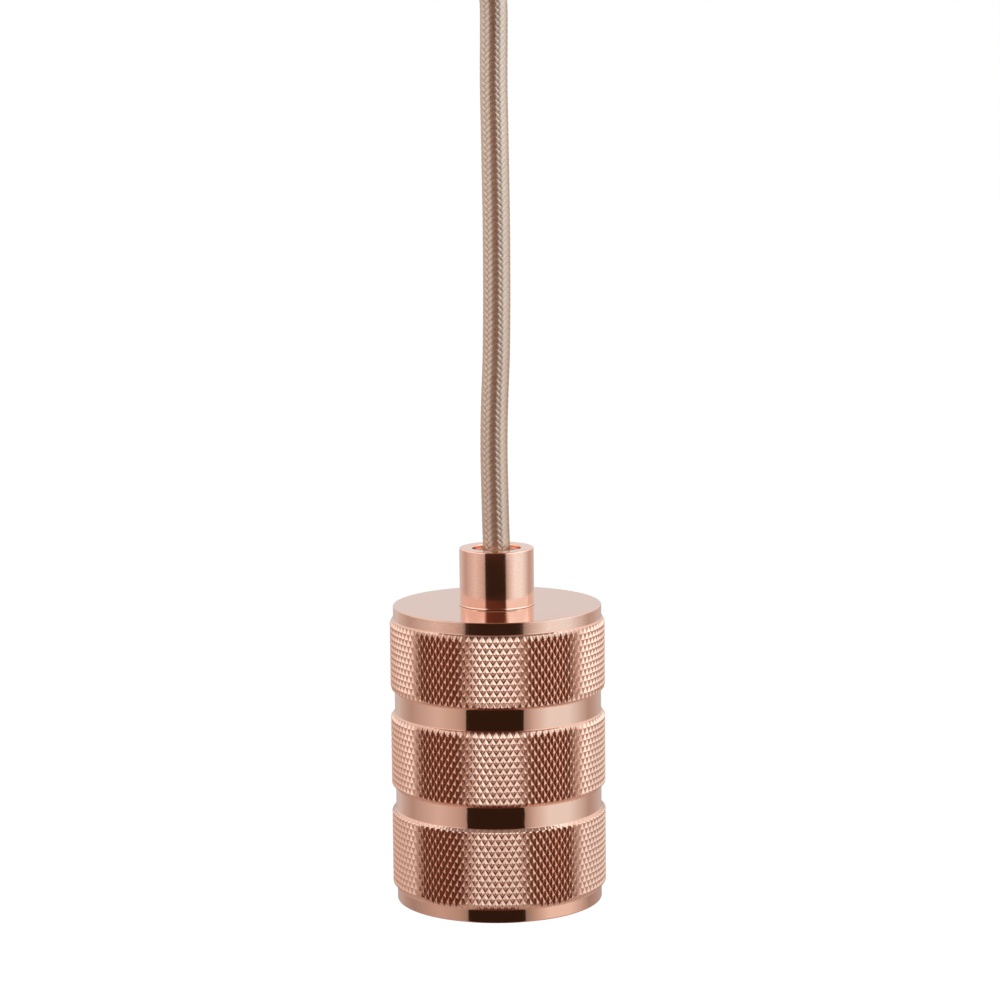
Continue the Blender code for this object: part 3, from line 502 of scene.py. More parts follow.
def smooth_line(points, step):
    """Points a step apart on a Catmull-Rom curve through the route.

    Between two points the curve is the cubic that leaves each one in the
    direction of the line between its neighbours.
    """
    p = np.array(points, float)
    p = np.vstack([2 * p[0] - p[1], p, 2 * p[-1] - p[-2]])
    s = np.linspace(0, 1, 24, endpoint=False)[None, :, None]
    a, b, c, d = (p[i:len(p) - 3 + i][:, None, :] for i in range(4))
    fine = 0.5 * (2 * b + (c - a) * s + (2 * a - 5 * b + 4 * c - d) * s ** 2
                  + (3 * b - a - 3 * c + d) * s ** 3)
    fine = np.vstack([fine.reshape(-1, 3), p[-2]])
    length = np.concatenate([[0], np.cumsum(np.linalg.norm(np.diff(fine, axis=0), axis=1))])
    wanted = np.linspace(0, length[-1], int(round(length[-1] / step)) + 1)
    return np.stack([np.interp(wanted, length, fine[:, k]) for k in range(3)], axis=1), wanted


def braid_height(around, along):
    """Height from 0 to 1 of the bundle on top at (around, along).

    around counts columns and along counts stitches. s and t count the bundles of
    the two families. Family one is on top where floor(s) + floor(t) leaves 0 or 1
    when divided by 4. A bundle is low and flat across, and dives at the ends of its
    float, more steeply at the lower one, where two columns point at each other.
    """
    s, t = around + along, around - along
    i, j = np.floor(s + 1e-6), np.floor(t + 1e-6)
    order = (i + j) % 4
    first = order < 2
    across = np.where(first, s - i, t - j)
    run = np.where(first, t - (j - order), s - (i - (order - 2))) / 2
    down = np.clip(np.where(first, run, 1 - run), 0, 1)
    crown = 1 - 0.3 * np.abs(2 * across - 1) ** 3
    return crown * (1 - 0.9 * down ** 9 - 0.3 * (1 - down) ** 9)


def make_flex():
    step = STITCH / 8
    centre, distance = smooth_line(route, step)
    around = np.arange(BUNDLES * 8) / 8
    along = distance / STITCH
    tall = braid_height(around[None, :], along[:, None])
    radius = FLEX / 2 - RELIEF * (1 - tall)
    tangent = np.gradient(centre, axis=0)
    tangent /= np.linalg.norm(tangent, axis=1)[:, None]
    side = np.array([1.0, 0, 0]) - tangent * tangent[:, :1]
    side /= np.linalg.norm(side, axis=1)[:, None]
    front = np.cross(side, tangent)
    t = (around + PATTERN_TURN) / BUNDLES * 2 * math.pi
    points = centre[:, None, :] + radius[..., None] * (
        side[:, None, :] * np.sin(t)[None, :, None] + front[:, None, :] * np.cos(t)[None, :, None])
    flex = grid_mesh("flex_braid", points[::-1], caps=True, uv=(around, along[::-1]))
    flex.data.materials.append(braid)
    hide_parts("flex_cord")
    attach(flex, "root")
    return flex, distance[-1]


# %% [markdown]
# ## Rayon braid
#
# The yarn is copper-coloured rayon: a smooth thread with a silk's shine, so a flex
# mirrors its room in soft upright stripes, almost as the metal does. The shader's IOR
# is far above rayon's own 1.5, set to give one smooth skin the sheen of many threads.
# The stitches are real relief in the mesh. The material adds what is finer: the parallel
# threads of a bundle, drawn from the same two slanted coordinates, painted shade in the
# gaps at a bundle's edges and where it dives under the next, and a dye that took a little unevenly.

# %% Braid finish
THREADS = 5                         # in a bundle; drawn coarser than rayon filament


def braid_material():
    material, tree, shader = new_finish(
        "rayon_braid_copper", "a0705a", 0.27, IOR=5.4, Specular_Tint=linear("ffefdc"))

    def math_node(operation, first, second=0.0):
        return add(tree, "ShaderNodeMath", {0: first, 1: second}, operation=operation).outputs[0]

    place = add(tree, "ShaderNodeUVMap", uv_map="UVMap")
    parts = add(tree, "ShaderNodeSeparateXYZ", {0: place.outputs[0]})
    around, along = parts.outputs[0], parts.outputs[1]
    s, t = math_node("ADD", around, along), math_node("SUBTRACT", around, along)
    i, j = math_node("FLOOR", s), math_node("FLOOR", t)
    order = math_node("FLOORED_MODULO", math_node("ADD", i, j), 4.0)
    first = math_node("LESS_THAN", order, 1.5)
    across = add(tree, "ShaderNodeMix", {
        0: first, 2: math_node("SUBTRACT", t, j), 3: math_node("SUBTRACT", s, i)}).outputs[0]
    bundle = add(tree, "ShaderNodeMix", {0: first, 2: math_node("ADD", j, 31.5), 3: i}).outputs[0]
    run_one = math_node("ADD", math_node("SUBTRACT", t, j), order)
    run_two = math_node("SUBTRACT", 4.0, math_node("ADD", math_node("SUBTRACT", s, i), order))
    down = add(tree, "ShaderNodeMix", {0: first, 2: run_two, 3: run_one}).outputs[0]
    wave = math_node("SINE", math_node("MULTIPLY", across, THREADS * 2 * math.pi))
    dye = add(tree, "ShaderNodeTexWhiteNoise", {"W": bundle}, noise_dimensions="1D")
    patch = add(tree, "ShaderNodeTexNoise", {"Vector": place.outputs[0], "Scale": 0.4, "Detail": 2.0})
    mixed = math_node("ADD", math_node("MULTIPLY", dye.outputs[0], 0.25),
                      math_node("MULTIPLY", patch.outputs[0], 0.75))
    ramp = add(tree, "ShaderNodeValToRGB", {0: mixed})
    ramp.color_ramp.elements[0].color = linear("9f6a58")
    ramp.color_ramp.elements[0].position = 0.3
    ramp.color_ramp.elements[1].color = linear("a67d62")
    ramp.color_ramp.elements[1].position = 0.7
    # Painted shade: the colour is darkened at each bundle's edges, in the gaps between bundles, and at
    # the end where a bundle dives under the next.
    edge = math_node("ABSOLUTE", math_node("SUBTRACT", across, 0.5))
    shade = add(tree, "ShaderNodeMapRange", {
        "Value": edge, "From Min": 0.38, "From Max": 0.5, "To Min": 0.0, "To Max": 0.25})
    dive_shade = add(tree, "ShaderNodeMapRange", {
        "Value": down, "From Min": 1.55, "From Max": 2.0, "To Min": 0.0, "To Max": 0.9})
    dark = math_node("MAXIMUM", shade.outputs[0], dive_shade.outputs[0])
    # The painted shade pulls the dye towards a dark brown; the diving ends are also made rougher.
    tone = add(tree, "ShaderNodeMix", {
        0: dark, 6: ramp.outputs[0], 7: linear("5c3628")}, data_type="RGBA")
    tree.links.new(tone.outputs[2], shader.inputs["Base Color"])
    matt = add(tree, "ShaderNodeMapRange", {
        "Value": dive_shade.outputs[0], "To Min": 0.27, "To Max": 0.7})
    tree.links.new(matt.outputs[0], shader.inputs["Roughness"])
    relief = add(tree, "ShaderNodeBump", {"Height": wave, "Strength": 0.25, "Distance": 0.02 * MM})
    tree.links.new(relief.outputs[0], shader.inputs["Normal"])
    return material


braid = braid_material()
flex, flex_length = make_flex()
print("flex length:", round(flex_length, 1), "mm;", len(flex.data.polygons), "faces")

# %% [markdown]
# ## The ceiling rose
#
# A cup spun from sheet over a form: flat floor, round corner, straight wall with a
# rounded lip. Spinning leaves fine rings that run round the cup, so its grain is drawn
# out along them, on a copper that is duller than the lamp's.

# %% Rose
ROSE_RADIUS, ROSE_WALL, ROSE_CORNER = 50.0, 1.2, 6.0


def make_rose():
    outline = rounded([
        (ROSE_RADIUS, 0.0, 0.3), (ROSE_RADIUS, ROSE_FLOOR, ROSE_CORNER), (HOLE, ROSE_FLOOR, 0.1),
        (HOLE, ROSE_FLOOR + ROSE_WALL, 0.1),
        (ROSE_RADIUS - ROSE_WALL, ROSE_FLOOR + ROSE_WALL, ROSE_CORNER - ROSE_WALL),
        (ROSE_RADIUS - ROSE_WALL, 0.0, 0.3)], steps=9)
    rose = turn("ceiling_rose_cup", outline, 256)
    rose.data.materials.append(spun)
    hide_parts("ceiling_rose")
    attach(rose, "root")
    return rose


rose = make_rose()
print("rose:", len(rose.data.polygons), "faces")

# %% [markdown]
# ## Plain metals
#
# The electrical parts are left as the press or the plating bath made them. Brass and
# bronze are pressed or sprung from strip, and steel has a blue-grey zinc plating. One
# noise serves the colour, the roughness and a slight relief, so that the three agree
# as they do on a real surface.

# %% Plain metals
def metal(name, colour, darker, roughness, grain_size, bump):
    """A plain metal: a grain of grain_size mm in colour, roughness and relief."""
    material, tree, shader = new_finish(name, colour, roughness, metallic=1.0)
    place = add(tree, "ShaderNodeTexCoord")
    grain = add(tree, "ShaderNodeTexNoise", {
        "Vector": place.outputs["Object"], "Scale": 1 / (grain_size * MM), "Detail": 3.0})
    tone = add(tree, "ShaderNodeMix", {
        0: grain.outputs[0], 6: linear(colour), 7: linear(darker)}, data_type="RGBA")
    tree.links.new(tone.outputs[2], shader.inputs["Base Color"])
    rough = add(tree, "ShaderNodeMapRange", {
        "Value": grain.outputs[0], "To Min": roughness - 0.08, "To Max": roughness + 0.08})
    tree.links.new(rough.outputs[0], shader.inputs["Roughness"])
    relief = add(tree, "ShaderNodeBump", {
        "Height": grain.outputs[0], "Strength": 1.0, "Distance": bump * MM})
    tree.links.new(relief.outputs[0], shader.inputs["Normal"])
    return material


brass = metal("brass_pressed", "e5cc8c", "d0b070", 0.25, 0.4, 0.003)
bronze = metal("phosphor_bronze_sprung", "d9a878", "c08d5e", 0.28, 0.3, 0.003)
zinc = metal("steel_zinc_plated", "cfd1d2", "b3b8bd", 0.32, 0.5, 0.005)
print("plain metals:", [m.name for m in (brass, bronze, zinc)])

# %% [markdown]
# ## The screw shell
#
# The lamp's thread is rolled into thin brass, so the inside and the outside of the
# sheet follow the same wave: radius = middle + depth sin(turns). The wave fades out
# at the lip and under the flange, where the rolls let go.

# %% Screw shell
SHELL_TOP, SHELL_BOTTOM = -214.1, -238.1
THREAD_PITCH = 3.62                 # E27
THREAD_DEPTH = 0.5


def make_shell():
    columns = 144
    t = around_angles(columns)
    z = np.linspace(SHELL_BOTTOM, SHELL_TOP - 0.6, 110)
    fade = np.clip((z - SHELL_BOTTOM) / 2.0, 0, 1) * np.clip((SHELL_TOP - 1.2 - z) / 2.0, 0, 1)
    wave = np.sin(2 * math.pi * (z[:, None] / THREAD_PITCH - t[None, :] / (2 * math.pi)))
    middle = 13.75 + THREAD_DEPTH * fade[:, None] * wave
    sheet = 0.35
    outer, inner = middle[::-1] + sheet / 2, middle - sheet / 2
    flange = [(12.6, SHELL_TOP - sheet), (9.5, SHELL_TOP - sheet), (9.5, SHELL_TOP), (13.2, SHELL_TOP),
              (13.8, SHELL_TOP - 0.2)]
    radius = np.vstack([outer, inner] + [np.full((1, columns), r) for r, _ in flange])
    height = np.concatenate([z[::-1], z, [h for _, h in flange]])
    points = np.stack([radius * np.sin(t), -radius * np.cos(t),
                       np.broadcast_to(height[:, None], radius.shape)], axis=-1)
    shell = grid_mesh("screw_shell_rolled", points, closed_profile=True)
    shell.data.set_sharp_from_angle(angle=math.radians(50))
    shell.data.materials.append(brass)
    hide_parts("screw_shell")
    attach(shell, "root")
    return shell


shell = make_shell()
print("screw shell:", len(shell.data.polygons), "faces")

# %% [markdown]
# ## Glazed porcelain and plastics
#
# Porcelain is white clay under a clear glaze: smooth and glossy, with a slow waviness
# where the glaze ran. The core's PVC is dull with a faint bloom, and nylon is
# milky, so a little light passes under its skin.

# %% Porcelain and plastics
def moulded(name, colour, other, roughness, cloud_size, bump, **constants):
    """A ceramic or plastic: slow clouds of tone and a soft relief."""
    material, tree, shader = new_finish(name, colour, roughness, **constants)
    place = add(tree, "ShaderNodeTexCoord")
    cloud = add(tree, "ShaderNodeTexNoise", {
        "Vector": place.outputs["Object"], "Scale": 1 / (cloud_size * MM), "Detail": 3.0})
    tone = add(tree, "ShaderNodeMix", {
        0: cloud.outputs[0], 6: linear(colour), 7: linear(other)}, data_type="RGBA")
    tree.links.new(tone.outputs[2], shader.inputs["Base Color"])
    relief = add(tree, "ShaderNodeBump", {
        "Height": cloud.outputs[0], "Strength": 1.0, "Distance": bump * MM})
    tree.links.new(relief.outputs[0], shader.inputs["Normal"])
    return material


finishes = {
    "copper": satin,
    "braid": braid,
    "porcelain": moulded("porcelain_glazed", "f1efe9", "e9e6dd", 0.12, 6.0, 0.05, Coat_Weight=0.6,
                         Coat_Roughness=0.05),
    "brass": brass,
    "bronze": bronze,
    "steel": zinc,
    "nylon": moulded("nylon_moulded", "e6e3d8", "dad6c8", 0.42, 2.0, 0.01, Subsurface_Weight=0.15,
                     Subsurface_Scale=0.001),
    "brown_pvc": moulded("pvc_brown_extruded", "5a3620", "4c2c19", 0.45, 1.5, 0.01),
    "blue_pvc": moulded("pvc_blue_extruded", "2a5fb0", "2453a0", 0.45, 1.5, 0.01),
}


def earth_pvc():
    """Green PVC with slanting yellow stripes."""
    material, tree, shader = new_finish("pvc_green_yellow_extruded", "5fae3a", 0.45)
    place = add(tree, "ShaderNodeTexCoord")
    stripe = add(tree, "ShaderNodeTexWave", {
        "Vector": place.outputs["Object"], "Scale": 1 / (6.4 * MM), "Distortion": 1.0,
        "Detail": 1.0}, wave_type="BANDS", bands_direction="DIAGONAL")
    cut = add(tree, "ShaderNodeMapRange", {
        "Value": stripe.outputs["Fac"], "From Min": 0.62, "From Max": 0.68})
    tone = add(tree, "ShaderNodeMix", {
        0: cut.outputs[0], 6: linear("4f9a35"), 7: linear("e8d43a")}, data_type="RGBA")
    tree.links.new(tone.outputs[2], shader.inputs["Base Color"])
    return material


finishes["green_yellow_pvc"] = earth_pvc()
print("finishes:", sorted(finishes))

# %% [markdown]
# ## The small fittings
#
# The nuts, blocks and strips have the right shapes in the CAD model, with knife-sharp
# edges that no real part has. Each is copied, its triangles merged back into flat
# faces, and a fine bevel put on the edges, because it is the line of light on an edge
# that makes small metal parts look real.

# %% Fittings
BEVEL_WIDTH = 0.12
SHARP = math.radians(30)            # edges that turn by more than this are real edges


def dress(piece, node, slot):
    """Give a piece the finish of its slot and let it stand in for its CAD node."""
    piece.data.materials.clear()
    piece.data.materials.append(finishes[slot])
    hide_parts(node)
    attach(piece, "root")


def fitting(node, slot):
    """A copy of a CAD node with merged faces and a bevel on its sharp edges."""
    bm = bmesh.new()
    bm.from_mesh(frame["nodes"][node].data)
    bmesh.ops.remove_doubles(bm, verts=bm.verts, dist=0.002 * MM)
    bmesh.ops.dissolve_limit(bm, angle_limit=math.radians(1), verts=bm.verts, edges=bm.edges)
    mesh = bpy.data.meshes.new(f"{node}_finished")
    bm.to_mesh(mesh)
    bm.free()
    mesh.polygons.foreach_set("use_smooth", np.ones(len(mesh.polygons), bool))
    mesh.set_sharp_from_angle(angle=SHARP)
    piece = bpy.data.objects.new(f"{node}_finished", mesh)
    bpy.context.scene.collection.objects.link(piece)
    bevel = piece.modifiers.new("edges", "BEVEL")
    bevel.width = BEVEL_WIDTH * MM
    bevel.segments = 2
    bevel.limit_method = "ANGLE"
    bevel.angle_limit = SHARP
    bevel.harden_normals = True
    dress(piece, node, slot)


print("bevel:", BEVEL_WIDTH, "mm")

# %% [markdown]
# ## Sawn screws
#
# A screw is turned, with a round pan head, and then a saw cuts its slot right across.
# Above the slot's floor the head is two halves, each an arc closed by a straight chord.
# The sizes are read off the CAD screw: its longest or shortest side is its axis, the
# wider end is the head, and the head's thickness ends at the shoulder. No two screws
# stop with their slots in line, so each is turned by an angle of its own.

# %% Sawn screws
SCREW_COLUMNS = 48


def sawn_screw(node, slot, turned_by):
    """A turned screw with a pan head and a sawn slot, measured off its CAD node.

    Below the slot it is a profile of (radius, depth) turned round the axis. Each half
    of the head is a stack of arcs of radius r, which start where r sin(angle) is half
    the slot's width; the mesh closes each arc with its chord.
    """
    cad = frame["nodes"][node].data
    points = np.empty(len(cad.vertices) * 3, np.float32)
    cad.vertices.foreach_get("co", points)
    points = points.reshape(-1, 3) / MM
    size = np.ptp(points, axis=0)
    axis = int(np.argmax(np.abs(size - np.median(size))))
    middle = (points.min(0) + points.max(0)) / 2
    others = [(axis + 1) % 3, (axis + 2) % 3]
    across = np.hypot(*(points - middle)[:, others].T)
    along = points[:, axis] - middle[axis]
    side = 1.0 if across[along > 0].max() > across[along < 0].max() else -1.0
    below_top = size[axis] / 2 - side * along
    head = across.max()
    shank = across[below_top > size[axis] - 0.01].max()
    shoulder = below_top[across > head - 0.01].max()
    slot_floor, half_slot, round_edge = 0.45 * shoulder, 0.13 * head, 0.25 * shoulder

    t = around_angles(SCREW_COLUMNS)
    profile = np.array([
        (0.01, slot_floor), (head, slot_floor), (head, shoulder - 0.1), (head - 0.1, shoulder),
        (shank, shoulder), (shank, size[axis] - 0.3), (shank - 0.3, size[axis]), (0.01, size[axis])])
    parts = [np.stack([profile[:, :1] * np.cos(t), profile[:, :1] * np.sin(t),
                       np.broadcast_to(-profile[:, 1:], (len(profile), len(t)))], axis=-1)]
    arc = np.linspace(0, 1, SCREW_COLUMNS // 2 + 1)
    edge = np.linspace(0, math.pi / 2, 5)
    radius = np.append(head - round_edge + round_edge * np.sin(edge), head)
    depth = np.append(round_edge - round_edge * np.cos(edge), slot_floor + 0.05)
    first = np.arcsin(half_slot / radius)[:, None]
    angle = first + (math.pi - 2 * first) * arc
    for half in (angle, angle + math.pi):
        parts.append(np.stack([radius[:, None] * np.cos(half), radius[:, None] * np.sin(half),
                               np.broadcast_to(-depth[:, None], half.shape)], axis=-1))

    up = np.zeros(3)
    up[axis] = side
    u = np.roll(np.abs(up), 1)
    v = np.cross(up, u)
    slot_u = math.cos(turned_by) * u + math.sin(turned_by) * v
    basis = np.array([slot_u, np.cross(up, slot_u), up])
    top = middle + up * size[axis] / 2
    bm = bmesh.new()
    for k, part in enumerate(parts):
        closed = grid_mesh(f"{node}_{k}", part @ basis + top, caps=True)
        bm.from_mesh(closed.data)
        bpy.data.objects.remove(closed)
    mesh = bpy.data.meshes.new(f"{node}_sawn")
    bm.to_mesh(mesh)
    bm.free()
    mesh.set_sharp_from_angle(angle=SHARP)
    piece = bpy.data.objects.new(f"{node}_sawn", mesh)
    bpy.context.scene.collection.objects.link(piece)
    dress(piece, node, slot)


print("screw columns:", SCREW_COLUMNS)

# %% [markdown]
# ## Every node gets its finish
#
# The record names the material slot of each CAD node. The wires' insulation is already
# smooth in the CAD model, so those nodes only take a new material. Screws are turned
# anew, and all that is left is bevelled.

# %% Dress the rest
slot_of = {row["node"]: row["material_slot"] for row in frame["record"]["subparts"]}
made = {"knurled_body", "lamp_grip", "rose_grip", "flex_cord", "ceiling_rose", "screw_shell"}
counts = {"wires": 0, "screws": 0, "fittings": 0}
for node, slot in slot_of.items():
    if node in made:
        continue
    if "core" in node:
        wire = frame["nodes"][node].data
        wire.materials.clear()
        wire.materials.append(finishes[slot])
        counts["wires"] += 1
    elif "screw" in node:
        sawn_screw(node, slot, 0.7 * len(node) + 1.9 * sum(map(ord, node)))
        counts["screws"] += 1
    else:
        fitting(node, slot)
        counts["fittings"] += 1
print(counts)

# %% [markdown]
# ## The studio
#
# The floor and the surround are white where the camera or a reflection looks at them,
# and otherwise light the lamp at a plain level. The floor lies far down, so that the
# light can be looked at from below as well.

# %% Floor and world
FLOOR_Z = -1600.0
FLOOR_REACH = 30000.0
LAMP_MIDDLE = PLATE - 35.0


def white_where_seen(tree, level_elsewhere, level_seen=1.0):
    """A strength: level_seen for camera, glossy and transmission rays, or else the other."""
    path = add(tree, "ShaderNodeLightPath")
    glossy = add(tree, "ShaderNodeMath", {
        0: path.outputs["Is Glossy Ray"], 1: path.outputs["Is Transmission Ray"]}, operation="MAXIMUM")
    seen = add(tree, "ShaderNodeMath", {
        0: path.outputs["Is Camera Ray"], 1: glossy.outputs[0]}, operation="MAXIMUM")
    return add(tree, "ShaderNodeMapRange", {
        "Value": seen.outputs[0], "To Min": level_elsewhere, "To Max": level_seen}).outputs[0]


def plain_sheet(name, corners, material):
    """A flat sheet through four corners in mm, with a UV map that runs along its first side."""
    mesh = bpy.data.meshes.new(name)
    mesh.from_pydata([tuple(c) for c in np.array(corners, float) * MM], [], [(0, 1, 2, 3)])
    layer = mesh.uv_layers.new(name="UVMap")
    layer.data.foreach_set("uv", np.array([(0, 0), (1, 0), (1, 1), (0, 1)], np.float32).ravel())
    mesh.materials.append(material)
    sheet = bpy.data.objects.new(name, mesh)
    bpy.context.scene.collection.objects.link(sheet)
    return sheet


floor_material, tree, shader = new_finish("floor_matt_white", "f2f2f2", 0.9)
glow = add(tree, "ShaderNodeEmission", {"Strength": white_where_seen(tree, 0.0, 0.45)})
both = add(tree, "ShaderNodeAddShader", {0: shader.outputs[0], 1: glow.outputs[0]})
tree.links.new(both.outputs[0], tree.nodes["Material Output"].inputs[0])
plain_sheet("floor", [
    (-FLOOR_REACH, -FLOOR_REACH, FLOOR_Z), (FLOOR_REACH, -FLOOR_REACH, FLOOR_Z),
    (FLOOR_REACH, FLOOR_REACH, FLOOR_Z), (-FLOOR_REACH, FLOOR_REACH, FLOOR_Z)], floor_material)

world = bpy.data.worlds.new("studio")
bpy.context.scene.world = world
world.use_nodes = True
tree = world.node_tree
tree.nodes.clear()
surround = add(tree, "ShaderNodeBackground", {
    "Color": linear("ffffff"), "Strength": white_where_seen(tree, 0.62)})
add(tree, "ShaderNodeOutputWorld", {0: surround.outputs[0]})
print("floor at", FLOOR_Z, "mm")

# %% [markdown]
# ## Two softboxes
#
# Soft light from both sides, from a little above, models the matt parts: the braid, the
# porcelain and the plastics. The softboxes stay out of the reflections, because there
# they would show as white squares on the copper, which the photograph hasn't got.

# %% Softboxes
SOFTBOX_DISTANCE, SOFTBOX_WIDTH, SOFTBOX_HEIGHT = 900.0, 900.0, 700.0
SOFTBOX_RADIANCE = 1.6


def toward(azimuth):
    """Unit vector on the floor; 0 degrees is the camera's side and 90 is +X."""
    a = math.radians(azimuth)
    return np.array([math.sin(a), -math.cos(a), 0.0])


def softbox(name, azimuth, elevation):
    """An area light that faces the lamp. Its power is radiance * pi * area."""
    light = bpy.data.lights.new(name, "AREA")
    light.shape = "RECTANGLE"
    light.size, light.size_y = SOFTBOX_WIDTH * MM, SOFTBOX_HEIGHT * MM
    light.energy = SOFTBOX_RADIANCE * math.pi * light.size * light.size_y
    lamp = bpy.data.objects.new(name, light)
    a, e = math.radians(azimuth), math.radians(elevation)
    height = LAMP_MIDDLE + SOFTBOX_DISTANCE * math.sin(e)
    at = toward(azimuth) * SOFTBOX_DISTANCE * math.cos(e) + (0, 0, height)
    turned = Matrix.Rotation(a, 4, "Z") @ Matrix.Rotation(math.pi / 2 - e, 4, "X")
    lamp.matrix_world = Matrix.Translation(at * MM) @ turned
    lamp.visible_camera = False
    lamp.visible_glossy = False
    bpy.context.scene.collection.objects.link(lamp)
    return lamp


lamps = [softbox("softbox_left", -60, 38), softbox("softbox_right", 60, 38)]
print("power:", [round(lamp.data.energy, 2) for lamp in lamps], "W")

# %% [markdown]
# ## What the copper mirrors
#
# Polished metal has hardly a look of its own: it shows the room. A bright cylinder shows
# what lies around it at twice the angle from the front, so the photograph's grooves are
# as good as a map of that room. They say: a black wall behind the camera, grey walls
# beside it that turn pale towards the windows, and the brighter window on the right. The
# knurl's facets lean upwards and see the upper wall, where the dark part fades at its
# edges. The room is built as glowing cards, which show in reflections alone and so put
# no light on the lamp.

# %% Cards
def glow_material(name):
    """A material without a shader yet; returns it, its tree and the place across its UV map."""
    material = bpy.data.materials.new(f"{name}_card")
    material.use_nodes = True
    tree = material.node_tree
    tree.nodes.clear()
    place = add(tree, "ShaderNodeUVMap", uv_map="UVMap")
    across = add(tree, "ShaderNodeSeparateXYZ", {0: place.outputs[0]})
    return material, tree, across.outputs[0]


def card_material(name, left, right, colour="ffffff"):
    """Light that changes evenly from strength left to strength right along the UV map."""
    material, tree, across = glow_material(name)
    level = add(tree, "ShaderNodeMapRange", {"Value": across, "To Min": left, "To Max": right})
    glow = add(tree, "ShaderNodeEmission", {"Color": linear(colour), "Strength": level.outputs[0]})
    add(tree, "ShaderNodeOutputMaterial", {0: glow.outputs[0]})
    return material


def only_in_reflections(sheet):
    sheet.visible_camera = False
    sheet.visible_diffuse = False
    sheet.visible_shadow = False
    sheet.visible_transmission = False


def wall_card(name, first, last, low, high, distance, left, right, colour="ffffff"):
    """An upright card from one azimuth to another, and between two elevations."""
    ends = [toward(angle) * distance for angle in (first, last)]
    heights = [LAMP_MIDDLE + distance * math.tan(math.radians(e)) for e in (low, high)]
    corners = [ends[0] + (0, 0, heights[0]), ends[1] + (0, 0, heights[0]),
               ends[1] + (0, 0, heights[1]), ends[0] + (0, 0, heights[1])]
    only_in_reflections(plain_sheet(name, corners, card_material(name, left, right, colour)))


def sector_card(name, first, last, radius, z, level, colour):
    """A level card from under the lamp out between two azimuths."""
    corners = [toward(a) * radius + (0, 0, z) for a in (first, (first + last) / 2, last)]
    sheet = plain_sheet(name, [(0, 0, z), *corners], card_material(name, level, level, colour))
    only_in_reflections(sheet)


def ring_sheet(name, radii, heights, material):
    """A sheet between two circles round the lamp, with a UV map that runs once round."""
    t = around_angles(120)
    points = np.stack([np.outer(radii, np.sin(t)), np.outer(radii, -np.cos(t)),
                       np.outer(heights, np.ones(120))], axis=-1)
    sheet = grid_mesh(name, points, uv=(t / (2 * math.pi), np.array([1.0, 0.0])))
    sheet.data.materials.append(material)
    only_in_reflections(sheet)


def flat_disc(name, radius, z, level, colour):
    """A level round card over or under the lamp."""
    ring_sheet(name, (radius, 1.0), (z, z), card_material(name, level, level, colour))


def room_ring(name, low, high, radius, stops):
    """A wall all round between two elevations, as light and shade that the copper mirrors.

    stops are (azimuth, level, tint); between two of them the wall changes evenly.
    """
    material, tree, across = glow_material(name)
    ramp = add(tree, "ShaderNodeValToRGB", {0: across})
    brightest = max(level for _, level, _ in stops)
    for k, (azimuth, level, tint) in enumerate(sorted(stops, key=lambda stop: stop[0] % 360)):
        position = azimuth % 360 / 360
        if k < 2:
            element = ramp.color_ramp.elements[k]
            element.position = position
        else:
            element = ramp.color_ramp.elements.new(position)
        element.color = [channel * level / brightest for channel in linear(tint)[:3]] + [1.0]
    glow = add(tree, "ShaderNodeEmission", {"Color": ramp.outputs[0], "Strength": brightest})
    add(tree, "ShaderNodeOutputMaterial", {0: glow.outputs[0]})
    heights = [LAMP_MIDDLE + radius * math.tan(math.radians(e)) for e in (high, low)]
    ring_sheet(name, (radius, radius), heights, material)


print("cards ready")

# %% [markdown]
# ## The room, wall by wall
#
# Azimuths are in degrees, with 0 behind the camera and 90 on the right. The lower wall
# is what the grooves and the rim see, the skirting is what the foot sees, and the upper
# wall is what the knurl's facets see. Tints are slight: warm by day-lit plaster, cool
# by the windows.

# %% Room
WARM, CREAM, PLAIN, COOL, SKY = "ffeee7", "fff3ed", "fff9f7", "e9f7ff", "f2f9ff"
BLACK, BROWN, TAN = "302219", "553427", "c8a08c"
DARK_FROM, DARK_TO = -35.5, 28.3    # the black wall
WINDOW_BACK = 112                   # where the windows end and the back wall begins
UNDER = -600.0

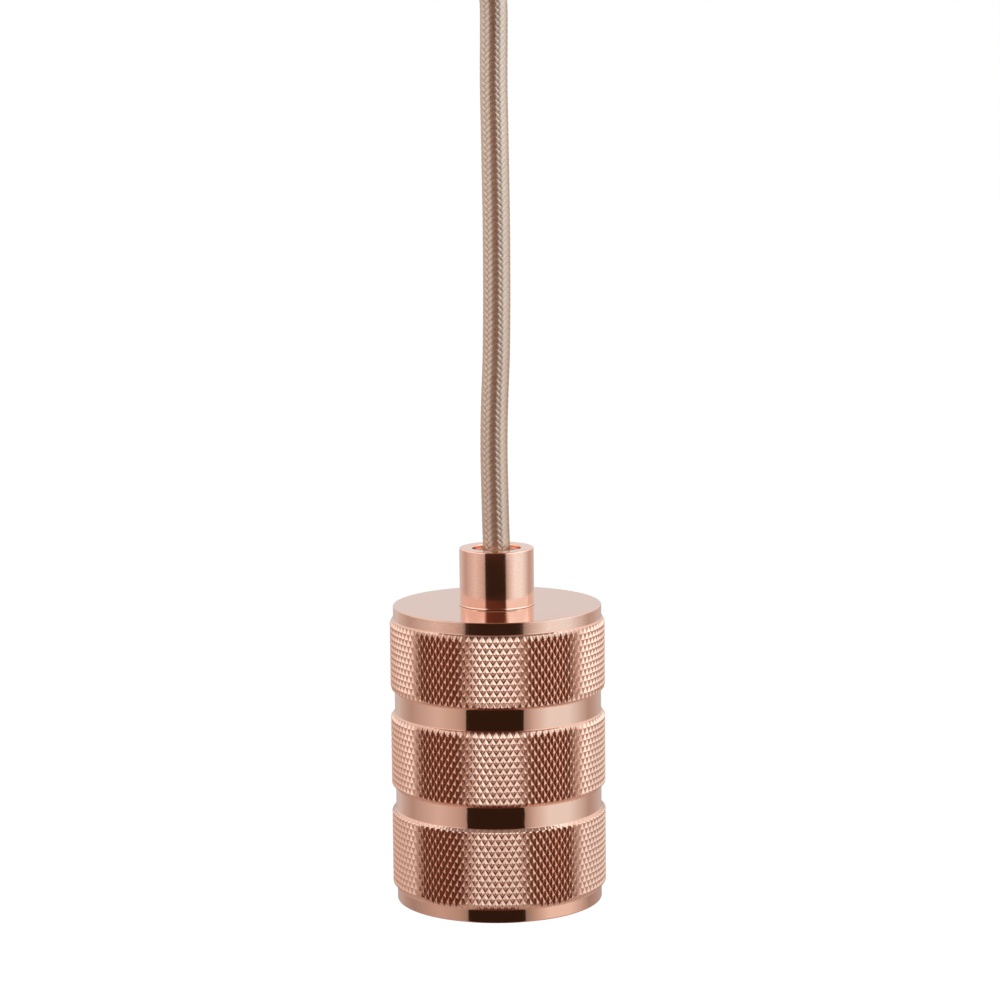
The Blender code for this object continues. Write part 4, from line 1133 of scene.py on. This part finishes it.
lower_wall = [
    (-179, 0.52, WARM), (-145, 0.68, PLAIN), (-112, 0.50, WARM), (-70, 0.75, PLAIN),
    (-46, 0.62, WARM), (-36, 0.46, WARM), (30, 0.42, WARM), (40, 0.70, PLAIN), (57, 1.14, COOL),
    (84, 1.12, COOL), (119, 0.50, WARM), (148, 0.61, CREAM), (179, 0.52, WARM)]
skirting = [(a, 0.82 * level, PLAIN if tint == COOL else WARM) for a, level, tint in lower_wall]
upper_wall = [
    (-179, 0.80, PLAIN), (-150, 0.90, PLAIN), (-116, 0.90, PLAIN), (-108, 1.30, SKY),
    (-43, 1.36, SKY), (-37, 0.65, TAN), (-30, 1.43, BROWN), (-18, 1.34, BROWN), (-10, 1.20, BROWN),
    (0, 1.45, BROWN), (12, 1.55, BROWN), (19, 1.10, BROWN), (31, 0.65, TAN), (43, 1.78, COOL),
    (104, 1.84, COOL), (116, 1.05, PLAIN), (145, 0.95, PLAIN), (179, 0.80, PLAIN)]
room_ring("lower_wall", -22, 3, 1000, lower_wall)
room_ring("skirting", -22, -16, 996, skirting)
room_ring("upper_wall", 13, 60, 900, upper_wall)

wall_card("black_wall", DARK_FROM, DARK_TO, -22, 3, 850, 1.0, 1.0, BLACK)
wall_card("black_wall_top", DARK_FROM, DARK_TO, 3, 13, 850, 1.5, 0.9, BROWN)
wall_card("photographer", -6, 7, -21, 2, 840, 1.0, 1.0, "4c2a26")
wall_card("sill_left", -WINDOW_BACK, DARK_FROM, 3, 13, 900, 0.79, 0.81, PLAIN)
wall_card("sill_right", DARK_TO, WINDOW_BACK, 3, 13, 900, 1.22, 1.13, COOL)
wall_card("back_wall_left", -180, -WINDOW_BACK, 3, 13, 1000, 0.77, 0.77)
wall_card("back_wall_right", WINDOW_BACK, 180, 3, 13, 1000, 0.77, 0.77)
flat_disc("under_lamp", 990, UNDER, 0.50, WARM)
sector_card("under_lamp_dark", DARK_FROM, DARK_TO, 990, UNDER + 1, 1.2, BROWN)
flat_disc("over_lamp", 420, 400, 0.30, WARM)
print("walls:", len(lower_wall), "and", len(upper_wall), "stops")
